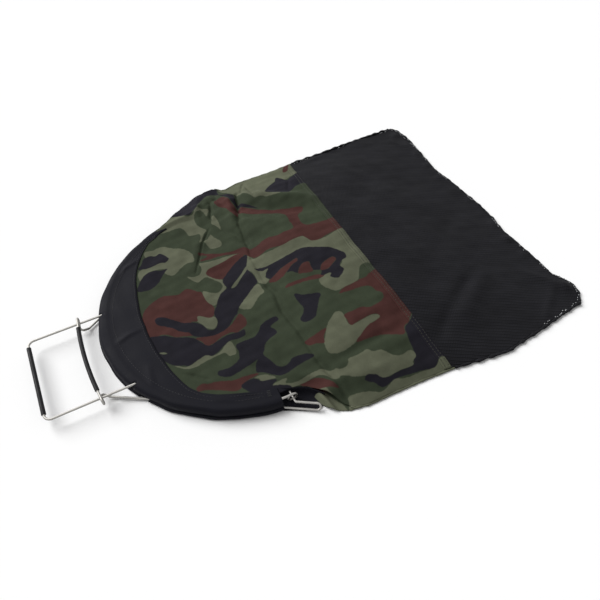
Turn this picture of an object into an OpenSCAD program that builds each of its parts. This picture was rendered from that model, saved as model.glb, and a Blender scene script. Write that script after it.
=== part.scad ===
// Diver's catch bag: two hinged wire jaws hold the mouth of a cloth bag with a mesh bottom.
// The bag lies flat on its side with its mouth shut and the handles together.
// +X runs from the mouth to the bottom seam, +Y to the far hinge and +Z up.
// The origin is midway between the two hinges, on the surface that the bag lies on.

/* [Jaw wire] */
// Diameter of the spring wire
wire_d = 3; // [2.5:0.1:4]
// Radius of the lower jaw's bow, to the middle of its wire
lower_bow_r = 181; // [170:1:220]
// How much smaller the upper bow is, so that its eyes sit inside the lower hairpins
bow_step = 6; // [5.5:0.5:9]
// Height of the closed mouth between the two hems
mouth_gap = 6; // [4.5:0.5:9]
// Radius of the ordinary bends in the wire
bend_r = 8; // [5:0.5:12]
// How far the eye of the upper jaw is curled round, in degrees
eye_turn = 290; // [250:5:290]

/* [Long handle] */
// Distance between the middles of the long handle's legs
long_handle_w = 121; // [105:1:125]
// How far the long handle stands out from the hinge line
long_handle_reach = 270; // [255:1:320]
// How far both handles sit off the middle of the jaws, towards the near hinge
handle_off = 14; // [0:1:16]
// Outside diameter of both grip sleeves
grip_d = 5.5; // [5:0.5:9]
// Bare wire between the end of a sleeve and the bend beside it
sleeve_stop = 1.5; // [1:0.5:12]

/* [Short handle] */
// How far the middle of the short handle's bar stands out from the hinge line
short_handle_reach = 209; // [206:1:225]
// How far the bar bows outwards in its middle
bar_bow = 3; // [2:0.5:6]
// How far each ear reaches past the middle of the long handle's leg
ear_reach = 10; // [8.5:0.5:16]
// How far inside that leg the ear's lower strand turns towards the bag
ear_return = 10; // [8:0.5:14]
// Angle by which the short handle's legs spread towards the bag
leg_spread = 31; // [22:1:34]

/* [Hinges] */
// Length of the lower jaw's hairpin behind the hinge line
hairpin_len = 26; // [22:1:40]
// Angle by which the hairpin points outwards
hairpin_splay = 32; // [24:1:36]
// Distance between the two strands of the hairpin, seen from above
hairpin_w = 6; // [4:0.5:8]
// Distance that the hinge pin reaches through the eye
pin_reach = 6; // [4:0.5:9]

/* [Cloth] */
// Thickness of the cloth and of the mesh
cloth_t = 1; // [0.8:0.1:1.4]
// Width of the black hem in the middle of the mouth
hem_mid_w = 48; // [40:1:70]
// Width of the black hem beside the hinges
hem_side_w = 22; // [16:1:26]
// How far the hem stops short of the hinge line
hem_stop = 20; // [15:1:26]
// How far in front of the hinge line the upper flap starts to fold
fold_line = 22; // [20:1:30]

/* [Bag] */
// Full width of the bag, seam to seam
bag_w = 464; // [440:2:560]
// Length of the bag from the hinge line to the bottom seam
bag_len = 428; // [360:2:560]
// Distance of the camouflage-to-mesh seam from the hinge line, at the sides
seam_x = 190; // [170:1:220]
// How far that seam bows towards the mouth in its middle
seam_bow = 14; // [0:1:30]
// Height of the bag's crown over the surface
crown_h = 36; // [28:1:50]
// Distance of the crown from the hinge line
crown_x = 105; // [80:1:130]
// Radius of the bag's bottom corners
corner_r = 25; // [15:1:40]
// Width of the bound edge along the sides and the bottom
binding_w = 3; // [2:0.5:5]

/* [Stitching] */
// Thickness of the sewing thread
thread_t = 0.5; // [0.4:0.1:0.8]
// Width of the turned edge along the camouflage-to-mesh seam
turned_w = 10; // [8:0.5:14]

/* [Hidden] */

$fn = 48;
steel = "silver";
grip_black = "#1c1c1e";
hem_black = "#2b2b2f";
camo_green = "#4c5540";
mesh_black = "#242427";
thread_grey = "#3c3c3e";

// Running gaps: round the wire in its hem, between two wires and between two layers of cloth
hem_clear = 0.3;
wire_clear = 0.6;
layer_clear = 0.2;
thread_clear = 0.05;
grip_clear = 0.05;
bend_swell = 0.1;
swell_len = 1;

wire_r = wire_d / 2;
channel_r = wire_r + hem_clear;
casing_r = channel_r + cloth_t;
upper_bow_r = lower_bow_r - bow_step;

// Heights of the two wires and of the hinge axis midway between them
lower_z = casing_r;
upper_z = lower_z + 2 * casing_r + mouth_gap;
hinge_z = (lower_z + upper_z) / 2;
eye_r = upper_z - hinge_z;

// Both handles are laid out about their own middle. A side is 1 for the far side and -1 for the near
// side, and on each side +Y points outwards from the middle of the jaws.
leg_y = long_handle_w / 2;
grip_len = 2 * (leg_y - bend_r - sleeve_stop);
function off_on(side) = [0, -side * handle_off];

// Long handle: its legs leave the bow through a bend that is tangent to both
function long_root(side) = bow_exit([-long_handle_reach, leg_y] + off_on(side), 0, upper_bow_r, bend_r);

// Short handle: the bar is an arc that goes on straight over the long handle's legs. Each ear hooks down
// round its leg, comes back under it and turns down to the low leg, which runs out to the lower bow.
bar_z = upper_z + wire_d + wire_clear;
under_z = upper_z - wire_d - wire_clear;
hook_r = (bar_z - under_z) / 2;
bar_half = leg_y - bend_r;
bar_r = (bar_half * bar_half + bar_bow * bar_bow) / (2 * bar_bow);
bar_turn = asin(bar_half / bar_r);
bar_centre_x = bar_r - short_handle_reach;
bar_end = [bar_centre_x - bar_r * cos(bar_turn), bar_half];
ear_dir = [sin(bar_turn), cos(bar_turn)];
function ear_at(y) = bar_end + ear_dir * ((y - bar_half) / ear_dir[1]);
ear_tip = ear_at(leg_y + ear_reach - wire_r - hook_r);
knee = ear_at(leg_y - ear_return);
knee_bend = 4;
drop_run = 12;
drop_bend = 3;
drop_foot = knee + drop_run * [cos(leg_spread), sin(leg_spread)];
function short_root(side) = bow_exit(drop_foot + off_on(side), leg_spread, lower_bow_r, bend_r);

// Hairpin: behind the end of the hem the lower bow flares out into it, and it comes back higher up and
// further in, to end as the pin on the hinge axis
flare_turn = asin((hem_stop - swell_len) / lower_bow_r);
flare_start = lower_bow_r * [-sin(flare_turn), cos(flare_turn)];
flare_corner = flare_start + [cos(flare_turn), sin(flare_turn)] * bend_r / 2;
hairpin_dir = [cos(hairpin_splay), sin(hairpin_splay), 0];
strand_gap = [hairpin_w * sin(hairpin_splay), -hairpin_w * cos(hairpin_splay), hinge_z - lower_z];
hairpin_bend = norm(strand_gap) / 2;
hairpin_end_x = hairpin_len - wire_r - hairpin_bend * hairpin_dir[0] - strand_gap[0] / 2;
hairpin_run = (hairpin_end_x - flare_corner[0]) / hairpin_dir[0];
hairpin_end = [flare_corner[0], flare_corner[1], lower_z] + hairpin_dir * hairpin_run;
pin_strand = hairpin_end + strand_gap;
pin_root_y = pin_strand[1] - pin_strand[0] * tan(hairpin_splay);
pin_bend = eye_r * 0.45;

// Plan of the bag: a neck between the hinges, shoulders behind them and then straight sides
half_w = bag_w / 2;
neck_half = upper_bow_r - hem_side_w;
neck_end = hairpin_len / 6;
shoulder_end = neck_end + (half_w - neck_half) * 0.95;
panel_front = -fold_line / 2;
edge_z = cloth_t + layer_clear;
front_z = upper_z + cloth_t;

function smooth(t) = let (c = min(1, max(0, t))) c * c * (3 - 2 * c);
function mix(a, b, t) = a + (b - a) * t;
function side_y(x) =
    let (straight = mix(neck_half, half_w, smooth((x - neck_end) / (shoulder_end - neck_end))),
         past = x - (bag_len - corner_r))
    past <= 0 ? straight : half_w - corner_r + sqrt(max(0, corner_r * corner_r - past * past));
function crown(x) = x < crown_x
    ? mix(front_z, crown_h, smooth((x - panel_front) / (crown_x - panel_front)))
    : mix(crown_h, edge_z + 2, smooth((x - crown_x) / (bag_len - crown_x)));
function seam_at(v) = seam_x - seam_bow * (1 - v * v);
function sheet_z(x, v) = edge_z + (crown(x) - edge_z) * (1 - v * v);

// Where a leg that ends at end, spread by spread degrees, meets a bow of radius r through a bend:
// [middle of the bend, its end on the leg, its end on the bow]
function bow_exit(end, spread, r, bend) =
    let (d = [cos(spread), sin(spread)],
         n = [-sin(spread), cos(spread)],
         q = end + bend * n,
         s = -q * d - sqrt((q * d) * (q * d) - q * q + (r + bend) * (r + bend)),
         middle = q + s * d)
    [middle, end + s * d, middle * r / (r + bend)];

function unit(v) = v / norm(v);
function angle_of(p) = atan2(p[1], p[0]);

// The half-oval that bounds the hem on the inside
oval_power = 3;
function oval(bow_r, t) =
    [-(bow_r - hem_mid_w) * pow(cos(t), 2 / oval_power), (bow_r - hem_side_w) * pow(sin(t), 2 / oval_power)];
oval_step = 6;
function oval_points(bow_r) = concat(
    [for (t = [90 : -oval_step : 0]) oval(bow_r, t)],
    [for (t = [oval_step : oval_step : 90]) let (p = oval(bow_r, t)) [p[0], -p[1]]]);

// Straight piece of wire
module rod(a, b, r) {
    d = b - a;
    length = norm(d);
    if (length > 0.01)
        translate(a) rotate([0, acos(d[2] / length), atan2(d[1], d[0])]) cylinder(h = length, r = r);
}

// Slight swelling of the wire where a bend starts or ends, along the wire's direction there
module swell(p, dir, r) {
    half = unit(dir) * (swell_len / 2);
    rod(p - half, p + half, r + bend_swell);
}

// Bent piece of wire at the corner p between the directions from and to
module elbow(p, from, to, bend, r) {
    turn = acos(max(-1, min(1, from * to)));
    out = unit(to - from * (from * to));
    up = cross(from, out);
    cut = bend * tan(turn / 2);
    middle = p - from * cut + out * bend;
    multmatrix([[-out[0], from[0], up[0], middle[0]],
                [-out[1], from[1], up[1], middle[1]],
                [-out[2], from[2], up[2], middle[2]],
                [0, 0, 0, 1]])
        rotate_extrude(angle = turn) translate([bend, 0]) circle(r = r);
    swell(p - from * cut, from, r);
    swell(p + to * cut, to, r);
}

// Wire along a line of corners, with its own bend radius at each corner
module wire_path(points, bends, r) {
    last = len(points) - 1;
    dirs = [for (i = [0 : last - 1]) unit(points[i + 1] - points[i])];
    cuts = [for (i = [0 : last]) (i == 0 || i == last) ? 0
        : bends[i] * tan(acos(max(-1, min(1, dirs[i - 1] * dirs[i]))) / 2)];
    for (i = [0 : last - 1])
        rod(points[i] + dirs[i] * cuts[i], points[i + 1] - dirs[i] * cuts[i + 1], r);
    for (i = [1 : last - 1])
        elbow(points[i], dirs[i - 1], dirs[i], bends[i], r);
}

// Half turn of wire that starts at p in the direction from and comes back towards side
module u_turn(p, from, side, bend, r) {
    up = cross(from, side);
    middle = p + side * bend;
    multmatrix([[-side[0], from[0], up[0], middle[0]],
                [-side[1], from[1], up[1], middle[1]],
                [-side[2], from[2], up[2], middle[2]],
                [0, 0, 0, 1]])
        rotate_extrude(angle = 180) translate([bend, 0]) circle(r = r);
    swell(p, from, r);
    swell(p + 2 * bend * side, from, r);
}

// Wire along a level arc round the Z axis
module arc_wire(radius, from, to, r) {
    rotate([0, 0, from]) rotate_extrude(angle = to - from) translate([radius, 0]) circle(r = r);
}

// Draws its children on the far side and mirrored on the near side; $side tells them which it is
module both_sides() {
    let ($side = 1) children();
    mirror([0, 1, 0]) let ($side = -1) children();
}

// The bend that takes the wire from a bow into a handle's leg
module root_bend(root, r) {
    from = angle_of(root[1] - root[0]);
    to = angle_of(root[2] - root[0]);
    translate(root[0]) arc_wire(bend_r, from, to < from ? to + 360 : to, r);
    for (k = [1, 2]) {
        arm = root[k] - root[0];
        swell([root[k][0], root[k][1], 0], [-arm[1], arm[0], 0], r);
    }
}

// The lower bow's flare, hairpin and hinge pin on one side
module hairpin() {
    swell([flare_start[0], flare_start[1], lower_z], [cos(flare_turn), sin(flare_turn), 0], wire_r);
    wire_path([[flare_start[0], flare_start[1], lower_z],
               [flare_corner[0], flare_corner[1], lower_z],
               hairpin_end],
              [0, bend_r, 0], wire_r);
    u_turn(hairpin_end, hairpin_dir, unit(strand_gap), hairpin_bend, wire_r);
    wire_path([pin_strand,
               [0, pin_root_y, hinge_z],
               [0, upper_bow_r - wire_r - pin_reach, hinge_z]],
              [0, pin_bend, 0], wire_r);
}

// One ear of the short handle with its low leg, which ends at leg_end
module ear(leg_end) {
    along = [ear_dir[0], ear_dir[1], 0];
    swell([bar_end[0], bar_end[1], bar_z], along, wire_r);
    rod([bar_end[0], bar_end[1], bar_z], [ear_tip[0], ear_tip[1], bar_z], wire_r);
    u_turn([ear_tip[0], ear_tip[1], bar_z], along, [0, 0, -1], hook_r, wire_r);
    wire_path([[ear_tip[0], ear_tip[1], under_z],
               [knee[0], knee[1], under_z],
               [drop_foot[0], drop_foot[1], lower_z],
               [leg_end[0], leg_end[1], lower_z]],
              [0, knee_bend, drop_bend, 0], wire_r);
}

module lower_jaw_wire() {
    color(steel) {
        both_sides() {
            root = short_root($side);
            translate([0, 0, lower_z]) {
                arc_wire(lower_bow_r, 90 + flare_turn, angle_of(root[2]), wire_r);
                root_bend(root, wire_r);
            }
            hairpin();
            translate(off_on($side)) ear(root[1] - off_on($side));
        }
        translate([bar_centre_x, -handle_off, bar_z])
            arc_wire(bar_r, 180 - bar_turn, 180 + bar_turn, wire_r);
    }
}

module upper_jaw_wire() {
    corner_y = leg_y - bend_r;
    color(steel) {
        both_sides() {
            root = long_root($side);
            translate([0, 0, upper_z]) {
                arc_wire(upper_bow_r, 90, angle_of(root[2]), wire_r);
                root_bend(root, wire_r);
                swell([0, upper_bow_r, 0], [1, 0, 0], wire_r);
            }
            translate(off_on($side)) {
                rod([root[1][0], leg_y, upper_z], [bend_r - long_handle_reach, leg_y, upper_z], wire_r);
                elbow([-long_handle_reach, leg_y, upper_z], [-1, 0, 0], [0, -1, 0], bend_r, wire_r);
            }
            translate([0, upper_bow_r, hinge_z]) rotate([90, 0, 0])
                arc_wire(eye_r, 90 - eye_turn, 90, wire_r);
        }
        translate([-long_handle_reach, -handle_off, upper_z])
            rod([0, -corner_y, 0], [0, corner_y, 0], wire_r);
    }
}

module upper_grip() {
    color(grip_black) translate([-long_handle_reach, grip_len / 2 - handle_off, upper_z])
        rotate([90, 0, 0]) difference() {
            cylinder(h = grip_len, d = grip_d);
            translate([0, 0, -1]) cylinder(h = grip_len + 2, r = wire_r + grip_clear);
        }
}

module lower_grip() {
    turn = grip_len / bar_r * 180 / PI;
    color(grip_black) translate([bar_centre_x, -handle_off, bar_z]) rotate([0, 0, 180 - turn / 2])
        rotate_extrude(angle = turn) translate([bar_r, 0]) difference() {
            circle(d = grip_d);
            circle(r = wire_r + grip_clear);
        }
}

// Section of a hem: a casing round the wire at the bow's radius, and a ply that runs inwards from it
module hem_section(bow_r, z, ply_z) {
    slope = casing_r * 0.55;
    root_t = 0.15;
    polygon([[bow_r - 3 * casing_r, max(0, ply_z - root_t)], [bow_r - casing_r, min(ply_z, z - slope)],
             [bow_r - slope, z - casing_r], [bow_r + slope, z - casing_r],
             [bow_r + casing_r, z - slope], [bow_r + casing_r, z + slope],
             [bow_r + slope, z + casing_r], [bow_r - slope, z + casing_r],
             [bow_r - casing_r, z + slope], [bow_r - 3 * casing_r, ply_z + cloth_t + root_t]]);
}

// One black hem with openings in its casing where the handle's legs come through; root_on gives
// the place of a leg on each side
module hem_band(bow_r, z, ply_z, root_on) {
    stop_angle = asin(hem_stop / bow_r);
    window = 2 * wire_d + 2;
    color(hem_black) difference() {
        union() {
            rotate([0, 0, 90 + stop_angle]) rotate_extrude(angle = 180 - 2 * stop_angle) hem_section(bow_r, z, ply_z);
            translate([0, 0, ply_z]) linear_extrude(cloth_t) difference() {
                intersection() {
                    circle(r = bow_r - 2 * casing_r, $fn = 96);
                    translate([-bow_r, -bow_r]) square([bow_r - hem_stop, 2 * bow_r]);
                }
                polygon(oval_points(bow_r));
            }
        }
        translate([0, 0, z]) rotate_extrude() translate([bow_r, 0]) circle(r = channel_r);
        both_sides() {
            root = root_on($side);
            translate([root[2][0] - 2 * bow_step - window, root[1][1] - window / 2, z - 2 * casing_r])
                cube([2 * bow_step + window + casing_r, root[2][1] - root[1][1] + window + wire_d, 4 * casing_r]);
        }
    }
}

module lower_hem_band() {
    hem_band(lower_bow_r, lower_z, 0, function(side) short_root(side));
}

module upper_hem_band() {
    hem_band(upper_bow_r, upper_z, upper_z - cloth_t / 2, function(side) long_root(side));
}

// Plan of the lower camouflage panel, from the hem to the seam
module lower_camo_plan() {
    samples = 24;
    xs = [for (i = [0 : samples]) mix(-hem_stop, seam_x, i / samples)];
    polygon(concat([for (p = oval_points(lower_bow_r)) if (p[0] < -hem_stop - 0.1) p],
                   [for (x = xs) [x, -side_y(x)]],
                   [for (j = [1 - samples : samples - 1]) let (v = j / samples) [seam_at(v), v * side_y(seam_x)]],
                   [for (i = [samples : -1 : 0]) [xs[i], side_y(xs[i])]]));
}

module lower_camo_panel() {
    color(camo_green) linear_extrude(cloth_t) lower_camo_plan();
}

module upper_camo_flap() {
    color(camo_green) translate([0, 0, upper_z - cloth_t / 2]) linear_extrude(cloth_t) intersection() {
        polygon(oval_points(upper_bow_r));
        translate([-upper_bow_r, -upper_bow_r]) square([upper_bow_r - fold_line, 2 * upper_bow_r]);
    }
}

// Vaulted sheet of cloth between two lines across the bag; lift raises it off the layer below
module vaulted_sheet(front, back, along, across, lift, thick) {
    function at(i, j, z) =
        let (v = 2 * j / across - 1, x = mix(front(v), back(v), i / along))
        [x, v * side_y(x), sheet_z(x, v) + z];
    row = across + 1;
    half = (along + 1) * row;
    points = concat([for (i = [0 : along]) for (j = [0 : across]) at(i, j, lift + thick)],
                    [for (i = [0 : along]) for (j = [0 : across]) at(i, j, lift)]);
    top = [for (i = [0 : along - 1]) for (j = [0 : across - 1]) let (a = i * row + j)
        each [[a, a + 1, a + row + 1], [a, a + row + 1, a + row]]];
    bottom = [for (f = top) [f[2] + half, f[1] + half, f[0] + half]];
    rim = concat([for (j = [0 : across - 1]) j],
                 [for (i = [0 : along - 1]) i * row + across],
                 [for (j = [across : -1 : 1]) along * row + j],
                 [for (i = [along : -1 : 1]) i * row]);
    wall = [for (k = [0 : len(rim) - 1]) let (a = rim[k], b = rim[(k + 1) % len(rim)])
        each [[a, a + half, b + half], [a, b + half, b]]];
    polyhedron(points, concat(top, bottom, wall));
}

module upper_camo_panel() {
    color(camo_green)
        vaulted_sheet(function(v) panel_front, function(v) seam_at(v) - thread_clear, 14, 22, 0, cloth_t);
}

module upper_mesh_panel() {
    color(mesh_black)
        vaulted_sheet(function(v) seam_at(v), function(v) bag_len, 14, 22, 0, cloth_t);
}

module lower_mesh_panel() {
    samples = 24;
    straight = bag_len - corner_r;
    color(mesh_black) linear_extrude(cloth_t) polygon(concat(
        [for (j = [-samples : samples]) let (v = j / samples) [seam_at(v) + thread_clear, v * half_w]],
        [for (a = [90 : -10 : 0]) [straight + corner_r * cos(a), half_w - corner_r + corner_r * sin(a)]],
        [for (a = [0 : -10 : -90]) [straight + corner_r * cos(a), corner_r - half_w + corner_r * sin(a)]]));
}

// Bound edge: a strip just outside the panels
binding_h = 2 * cloth_t + 2 * layer_clear;

module far_side_binding() {
    run = bag_len - corner_r - layer_clear - shoulder_end;
    color(mesh_black) translate([shoulder_end, half_w + layer_clear, 0]) cube([run, binding_w, binding_h]);
}

module near_side_binding() {
    mirror([0, 1, 0]) far_side_binding();
}

module bottom_binding() {
    inner = corner_r + layer_clear;
    color(mesh_black) linear_extrude(binding_h) {
        translate([bag_len + layer_clear, corner_r - half_w]) square([binding_w, bag_w - 2 * corner_r]);
        both_sides() translate([bag_len - corner_r, half_w - corner_r]) intersection() {
            difference() {
                circle(r = inner + binding_w);
                circle(r = inner);
            }
            square(inner + binding_w);
        }
    }
}

// Turned edge of the camouflage cloth over the mesh, and the two rows of thread that hold it
thread_w = 2 * thread_t;
row_inset = turned_w * 0.25;
row_space = turned_w * 0.5;
side_gap = 0.985;

module upper_seam_facing() {
    color(camo_green) vaulted_sheet(function(v) seam_at(v), function(v) seam_at(v) + turned_w,
                                    1, 22, cloth_t + thread_clear, cloth_t / 2);
}

module upper_seam_thread() {
    color(thread_grey) for (k = [0, 1])
        vaulted_sheet(function(v) seam_at(v) + row_inset + k * row_space,
                      function(v) seam_at(v) + row_inset + k * row_space + thread_w,
                      1, 22, 1.5 * cloth_t + 2 * thread_clear, thread_t);
}

// Level strip along the seam, for the lower half
module seam_strip(start, width, z, height) {
    samples = 22;
    color(camo_green) translate([0, 0, z]) linear_extrude(height) polygon(concat(
        [for (j = [-samples : samples]) let (v = j / samples) [seam_at(v) + start, v * half_w * side_gap]],
        [for (j = [samples : -1 : -samples]) let (v = j / samples)
            [seam_at(v) + start + width, v * half_w * side_gap]]));
}

facing_t = 0.4 * cloth_t;

module lower_seam_facing() {
    color(camo_green) intersection() {
        seam_strip(0, turned_w, cloth_t + thread_clear, facing_t);
        inside_vault();
    }
}

module lower_seam_thread() {
    color(thread_grey) for (k = [0, 1]) intersection() {
        seam_strip(row_inset + k * row_space, thread_w, cloth_t + facing_t + 2 * thread_clear, thread_t);
        inside_vault();
    }
}

// The plan in which the upper sheet stands clear of the strips along the lower seam
module inside_vault() {
    clear_half = half_w * 0.93;
    translate([0, -clear_half, 0]) cube([bag_len, 2 * clear_half, crown_h]);
}

// Two rows of thread on a hem: one beside the casing and one along its inner edge
module band_thread(bow_r, z) {
    casing_row = bow_r - 3 * casing_r - 1.5 * thread_w;
    stop_angle = 2 * asin(hem_stop / bow_r);
    edge_in = 2.5;
    color(thread_grey) translate([0, 0, z]) {
        rotate([0, 0, 90 + stop_angle]) rotate_extrude(angle = 180 - 2 * stop_angle)
            translate([casing_row, 0]) square([thread_w, thread_t]);
        linear_extrude(thread_t) intersection() {
            difference() {
                polygon([for (p = oval_points(bow_r)) p * (1 + (edge_in + thread_w) / norm(p))]);
                polygon([for (p = oval_points(bow_r)) p * (1 + edge_in / norm(p))]);
            }
            translate([-bow_r, -bow_r]) square([bow_r - hem_mid_w, 2 * bow_r]);
        }
    }
}

module lower_band_thread() {
    band_thread(lower_bow_r, cloth_t + thread_clear);
}

module upper_band_thread() {
    band_thread(upper_bow_r, upper_z + cloth_t / 2 + thread_clear);
}

// Dense little bars of stitching where each hem ends beside the hinges
module bar_tacks(bow_r, z) {
    tack_w = 2.5;
    tack_len = hem_side_w - 1 - 4 * casing_r;
    color(thread_grey) both_sides()
        translate([-hem_stop - tack_w - 1, bow_r + 1 - hem_side_w, z]) cube([tack_w, tack_len, thread_t]);
}

module lower_bar_tacks() {
    bar_tacks(lower_bow_r, cloth_t + thread_clear);
}

module upper_bar_tacks() {
    bar_tacks(upper_bow_r, upper_z + cloth_t / 2 + thread_clear);
}

lower_jaw_wire();
lower_grip();
upper_jaw_wire();
upper_grip();
lower_hem_band();
upper_hem_band();
lower_camo_panel();
upper_camo_flap();
upper_camo_panel();
lower_mesh_panel();
upper_mesh_panel();
far_side_binding();
near_side_binding();
bottom_binding();
lower_seam_facing();
upper_seam_facing();
lower_seam_thread();
upper_seam_thread();
lower_band_thread();
upper_band_thread();
lower_bar_tacks();
upper_bar_tacks();
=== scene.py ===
# %% [markdown]
# A diver's catch bag lies shut on a pale floor: two wire jaws in black hems, camouflage cloth behind
# them and a bottom of fine black mesh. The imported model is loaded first, because its wires and sleeves
# stay as they are and every soft piece is laid into the same frame, in metres.
# %% Load the frame
import bpy
import math
import numpy as np
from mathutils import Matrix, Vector


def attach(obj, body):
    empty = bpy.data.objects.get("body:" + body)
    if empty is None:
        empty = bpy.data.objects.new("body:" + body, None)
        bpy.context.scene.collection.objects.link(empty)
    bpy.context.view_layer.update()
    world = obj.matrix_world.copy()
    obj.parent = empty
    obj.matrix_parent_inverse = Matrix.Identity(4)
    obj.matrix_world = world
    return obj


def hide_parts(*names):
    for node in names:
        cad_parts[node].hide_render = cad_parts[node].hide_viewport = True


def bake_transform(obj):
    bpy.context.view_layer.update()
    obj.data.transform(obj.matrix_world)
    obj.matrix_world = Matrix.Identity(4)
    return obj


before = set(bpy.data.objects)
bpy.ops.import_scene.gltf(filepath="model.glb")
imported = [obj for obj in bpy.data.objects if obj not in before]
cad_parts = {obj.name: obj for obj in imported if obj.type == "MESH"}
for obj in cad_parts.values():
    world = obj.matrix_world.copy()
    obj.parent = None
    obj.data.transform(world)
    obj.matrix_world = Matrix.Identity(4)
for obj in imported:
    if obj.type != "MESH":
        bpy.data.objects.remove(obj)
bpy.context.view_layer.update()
MM = 0.001

# %% [markdown]
# The view comes before the pieces, so that each of them can be judged as soon as it is there. The
# camera stands near the mouth's near corner and looks down steeply through a fairly wide lens.
# %% Camera
SENSOR = 36.0
FOCAL_PIXELS, FRAME_PIXELS = 507.0, 600.0
EYE, GAZE = (-0.1211, -0.4285, 0.566), (0.2801, 0.5405, -0.7934)


def add_to_scene(name, data):
    thing = bpy.data.objects.new(name, data)
    bpy.context.scene.collection.objects.link(thing)
    return thing


def point_along(thing, direction):
    thing.rotation_euler = Vector(direction).to_track_quat("-Z", "Y").to_euler()


camera_data = bpy.data.cameras.new("camera")
camera_data.sensor_width = SENSOR
camera_data.lens = SENSOR * FOCAL_PIXELS / FRAME_PIXELS
camera_data.clip_start, camera_data.clip_end = 0.01, 20.0
camera = add_to_scene("camera", camera_data)
camera.location = EYE
point_along(camera, GAZE)
bpy.context.scene.camera = camera
bpy.context.scene.view_settings.view_transform = "Standard"
print("lens %.1f mm" % camera_data.lens)

# %% [markdown]
# A bag lying on its side is nearly a relief: over every point of the floor there is one height. So the
# cloth can be described by lines along the edges of the bag and one height over the plan. The lines
# come first. The numbers of all shapes are millimetres, and a mesh is scaled to metres when it is made.
# %% Plan of the bag
FAR_LINE = (
    (-135, 107), (-100, 140), (-66, 160), (-54, 169), (-45, 175), (-35, 182), (-26, 189.5), (-15, 200),
    (-5, 208), (10, 218), (25, 226), (40, 232), (54, 233), (60, 229), (66, 223), (75, 221), (85, 224),
    (100, 227), (160, 228), (205, 232), (260, 233), (300, 236), (360, 238), (400, 239), (440, 239))
NEAR_LINE = (
    (-135, -107), (-100, -139), (-60, -160), (-30, -167), (-14, -167), (0, -166), (12, -167), (22, -171),
    (30, -178), (38, -188), (46, -199), (53, -211), (62, -220), (80, -224), (120, -225), (160, -227),
    (205, -231), (240, -237), (283, -243), (300, -241), (360, -235), (400, -230), (440, -226))
LOWER_NEAR_LINE = (
    (-135, -107), (-100, -139), (-60, -160), (-30, -166), (0, -166), (16, -171), (24, -181), (28, -198),
    (33, -206), (40, -213), (56, -221), (80, -224), (120, -225), (160, -227), (205, -231))
BOTTOM_LINE = (
    (-226, 424), (-215, 434), (-200, 438), (-185, 433), (-172, 425), (-130, 425), (-100, 424),
    (-70, 421), (-40, 427), (0, 427), (60, 423), (100, 418), (140, 422), (195, 428), (228, 424), (239, 414))
SEAM_SIDE, SEAM_BOW, TURNED = 190.0, 14.0, 10.0


def along(points, t):
    xs, ys = zip(*points)
    return np.interp(t, xs, ys)


def ease(a, b, t):
    t = np.clip((np.asarray(t, float) - a) / (b - a), 0.0, 1.0)
    return t * t * (3.0 - 2.0 * t)


def between(near, far, v):
    return near + (far - near) * (v + 1) / 2


def across_bag(x, v):
    return between(along(NEAR_LINE, x), along(FAR_LINE, x), v)


def seam_at(v):
    return SEAM_SIDE - SEAM_BOW * (1 - v * v)


print("camouflage seam at x %.0f to %.0f mm" % (seam_at(0), seam_at(1)))

# %% [markdown]
# The cloth is highest along the middle behind the mouth and falls to its edges. In front of the hinges
# the flat jaw holds it, and over the far hinge it is pitched like a tent. A cloth simulation could find
# such a shape too, but a fold that has to sit in a given place is easier to lay one by one.
# %% Height of the upper cloth
FRONT_AT, CROWN_AT, BOTTOM_AT = -20.0, 105.0, 428.0
FRONT_TOP, CROWN_TOP, BOTTOM_TOP, EDGE_TOP = 17.5, 36.0, 4.0, 1.8
FAR_ROUND, NEAR_ROUND = 2.2, 3.0
MOUTH_TOP, MOUTH_RISE, MOUTH_R = 15.0, 2.5, 174.0
JAW_TO_BODY = (-25, 70)
FAR_DROP, FAR_DROP_Y, FAR_DROP_BEGINS, FAR_DROP_ENDS = 8.0, (183, 208), (-32, -12), (40, 70)
HINGE_TENTS = (
    (-62, 162.8, 16.8, -46, 168.8, 18.2), (-46, 168.8, 18.2, -30, 171.5, 18.4),
    (-30, 171.5, 18.4, 6, 177, 19.4), (6, 177, 19.4, 26, 203, 13.5))
TENT_SLOPE = 0.4
POCKET, POCKET_SPREAD, POCKET_HEIGHT = (43, -190), 12.0, 8.0


def crown_line(x):
    front = FRONT_TOP + (CROWN_TOP - FRONT_TOP) * ease(FRONT_AT, CROWN_AT, x)
    back = CROWN_TOP + (BOTTOM_TOP - CROWN_TOP) * ease(CROWN_AT, BOTTOM_AT, x)
    return np.where(x < CROWN_AT, front, back)


def on_line(x, y, x1, y1, x2, y2):
    dx, dy = x2 - x1, y2 - y1
    t = np.clip(((x - x1) * dx + (y - y1) * dy) / (dx * dx + dy * dy), 0, 1)
    return t, np.hypot(x - x1 - t * dx, y - y1 - t * dy)


def bump(x, y, middle, spread, height):
    return height * np.exp(-((x - middle[0]) / spread) ** 2 - ((y - middle[1]) / spread) ** 2)


def cloth_height(x, y):
    edge = np.where(y > 0, along(FAR_LINE, x), -along(NEAR_LINE, x))
    v = np.clip(np.abs(y) / edge, 0, 1)
    body = EDGE_TOP + (crown_line(x) - EDGE_TOP) * (1 - v ** np.where(y > 0, FAR_ROUND, NEAR_ROUND))
    mouth = MOUTH_TOP + MOUTH_RISE * np.clip(1 - (x * x + y * y) / MOUTH_R ** 2, 0, 1)
    z = mouth + (body - mouth) * ease(*JAW_TO_BODY, x)
    z = z - FAR_DROP * ease(*FAR_DROP_Y, y) * ease(*FAR_DROP_BEGINS, x) * (1 - ease(*FAR_DROP_ENDS, x))
    for x1, y1, z1, x2, y2, z2 in HINGE_TENTS:
        t, away = on_line(x, y, x1, y1, x2, y2)
        z = np.maximum(z, z1 + (z2 - z1) * t - TENT_SLOPE * away)
    return np.maximum(z + bump(x, y, POCKET, POCKET_SPREAD, POCKET_HEIGHT), EDGE_TOP)


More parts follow.
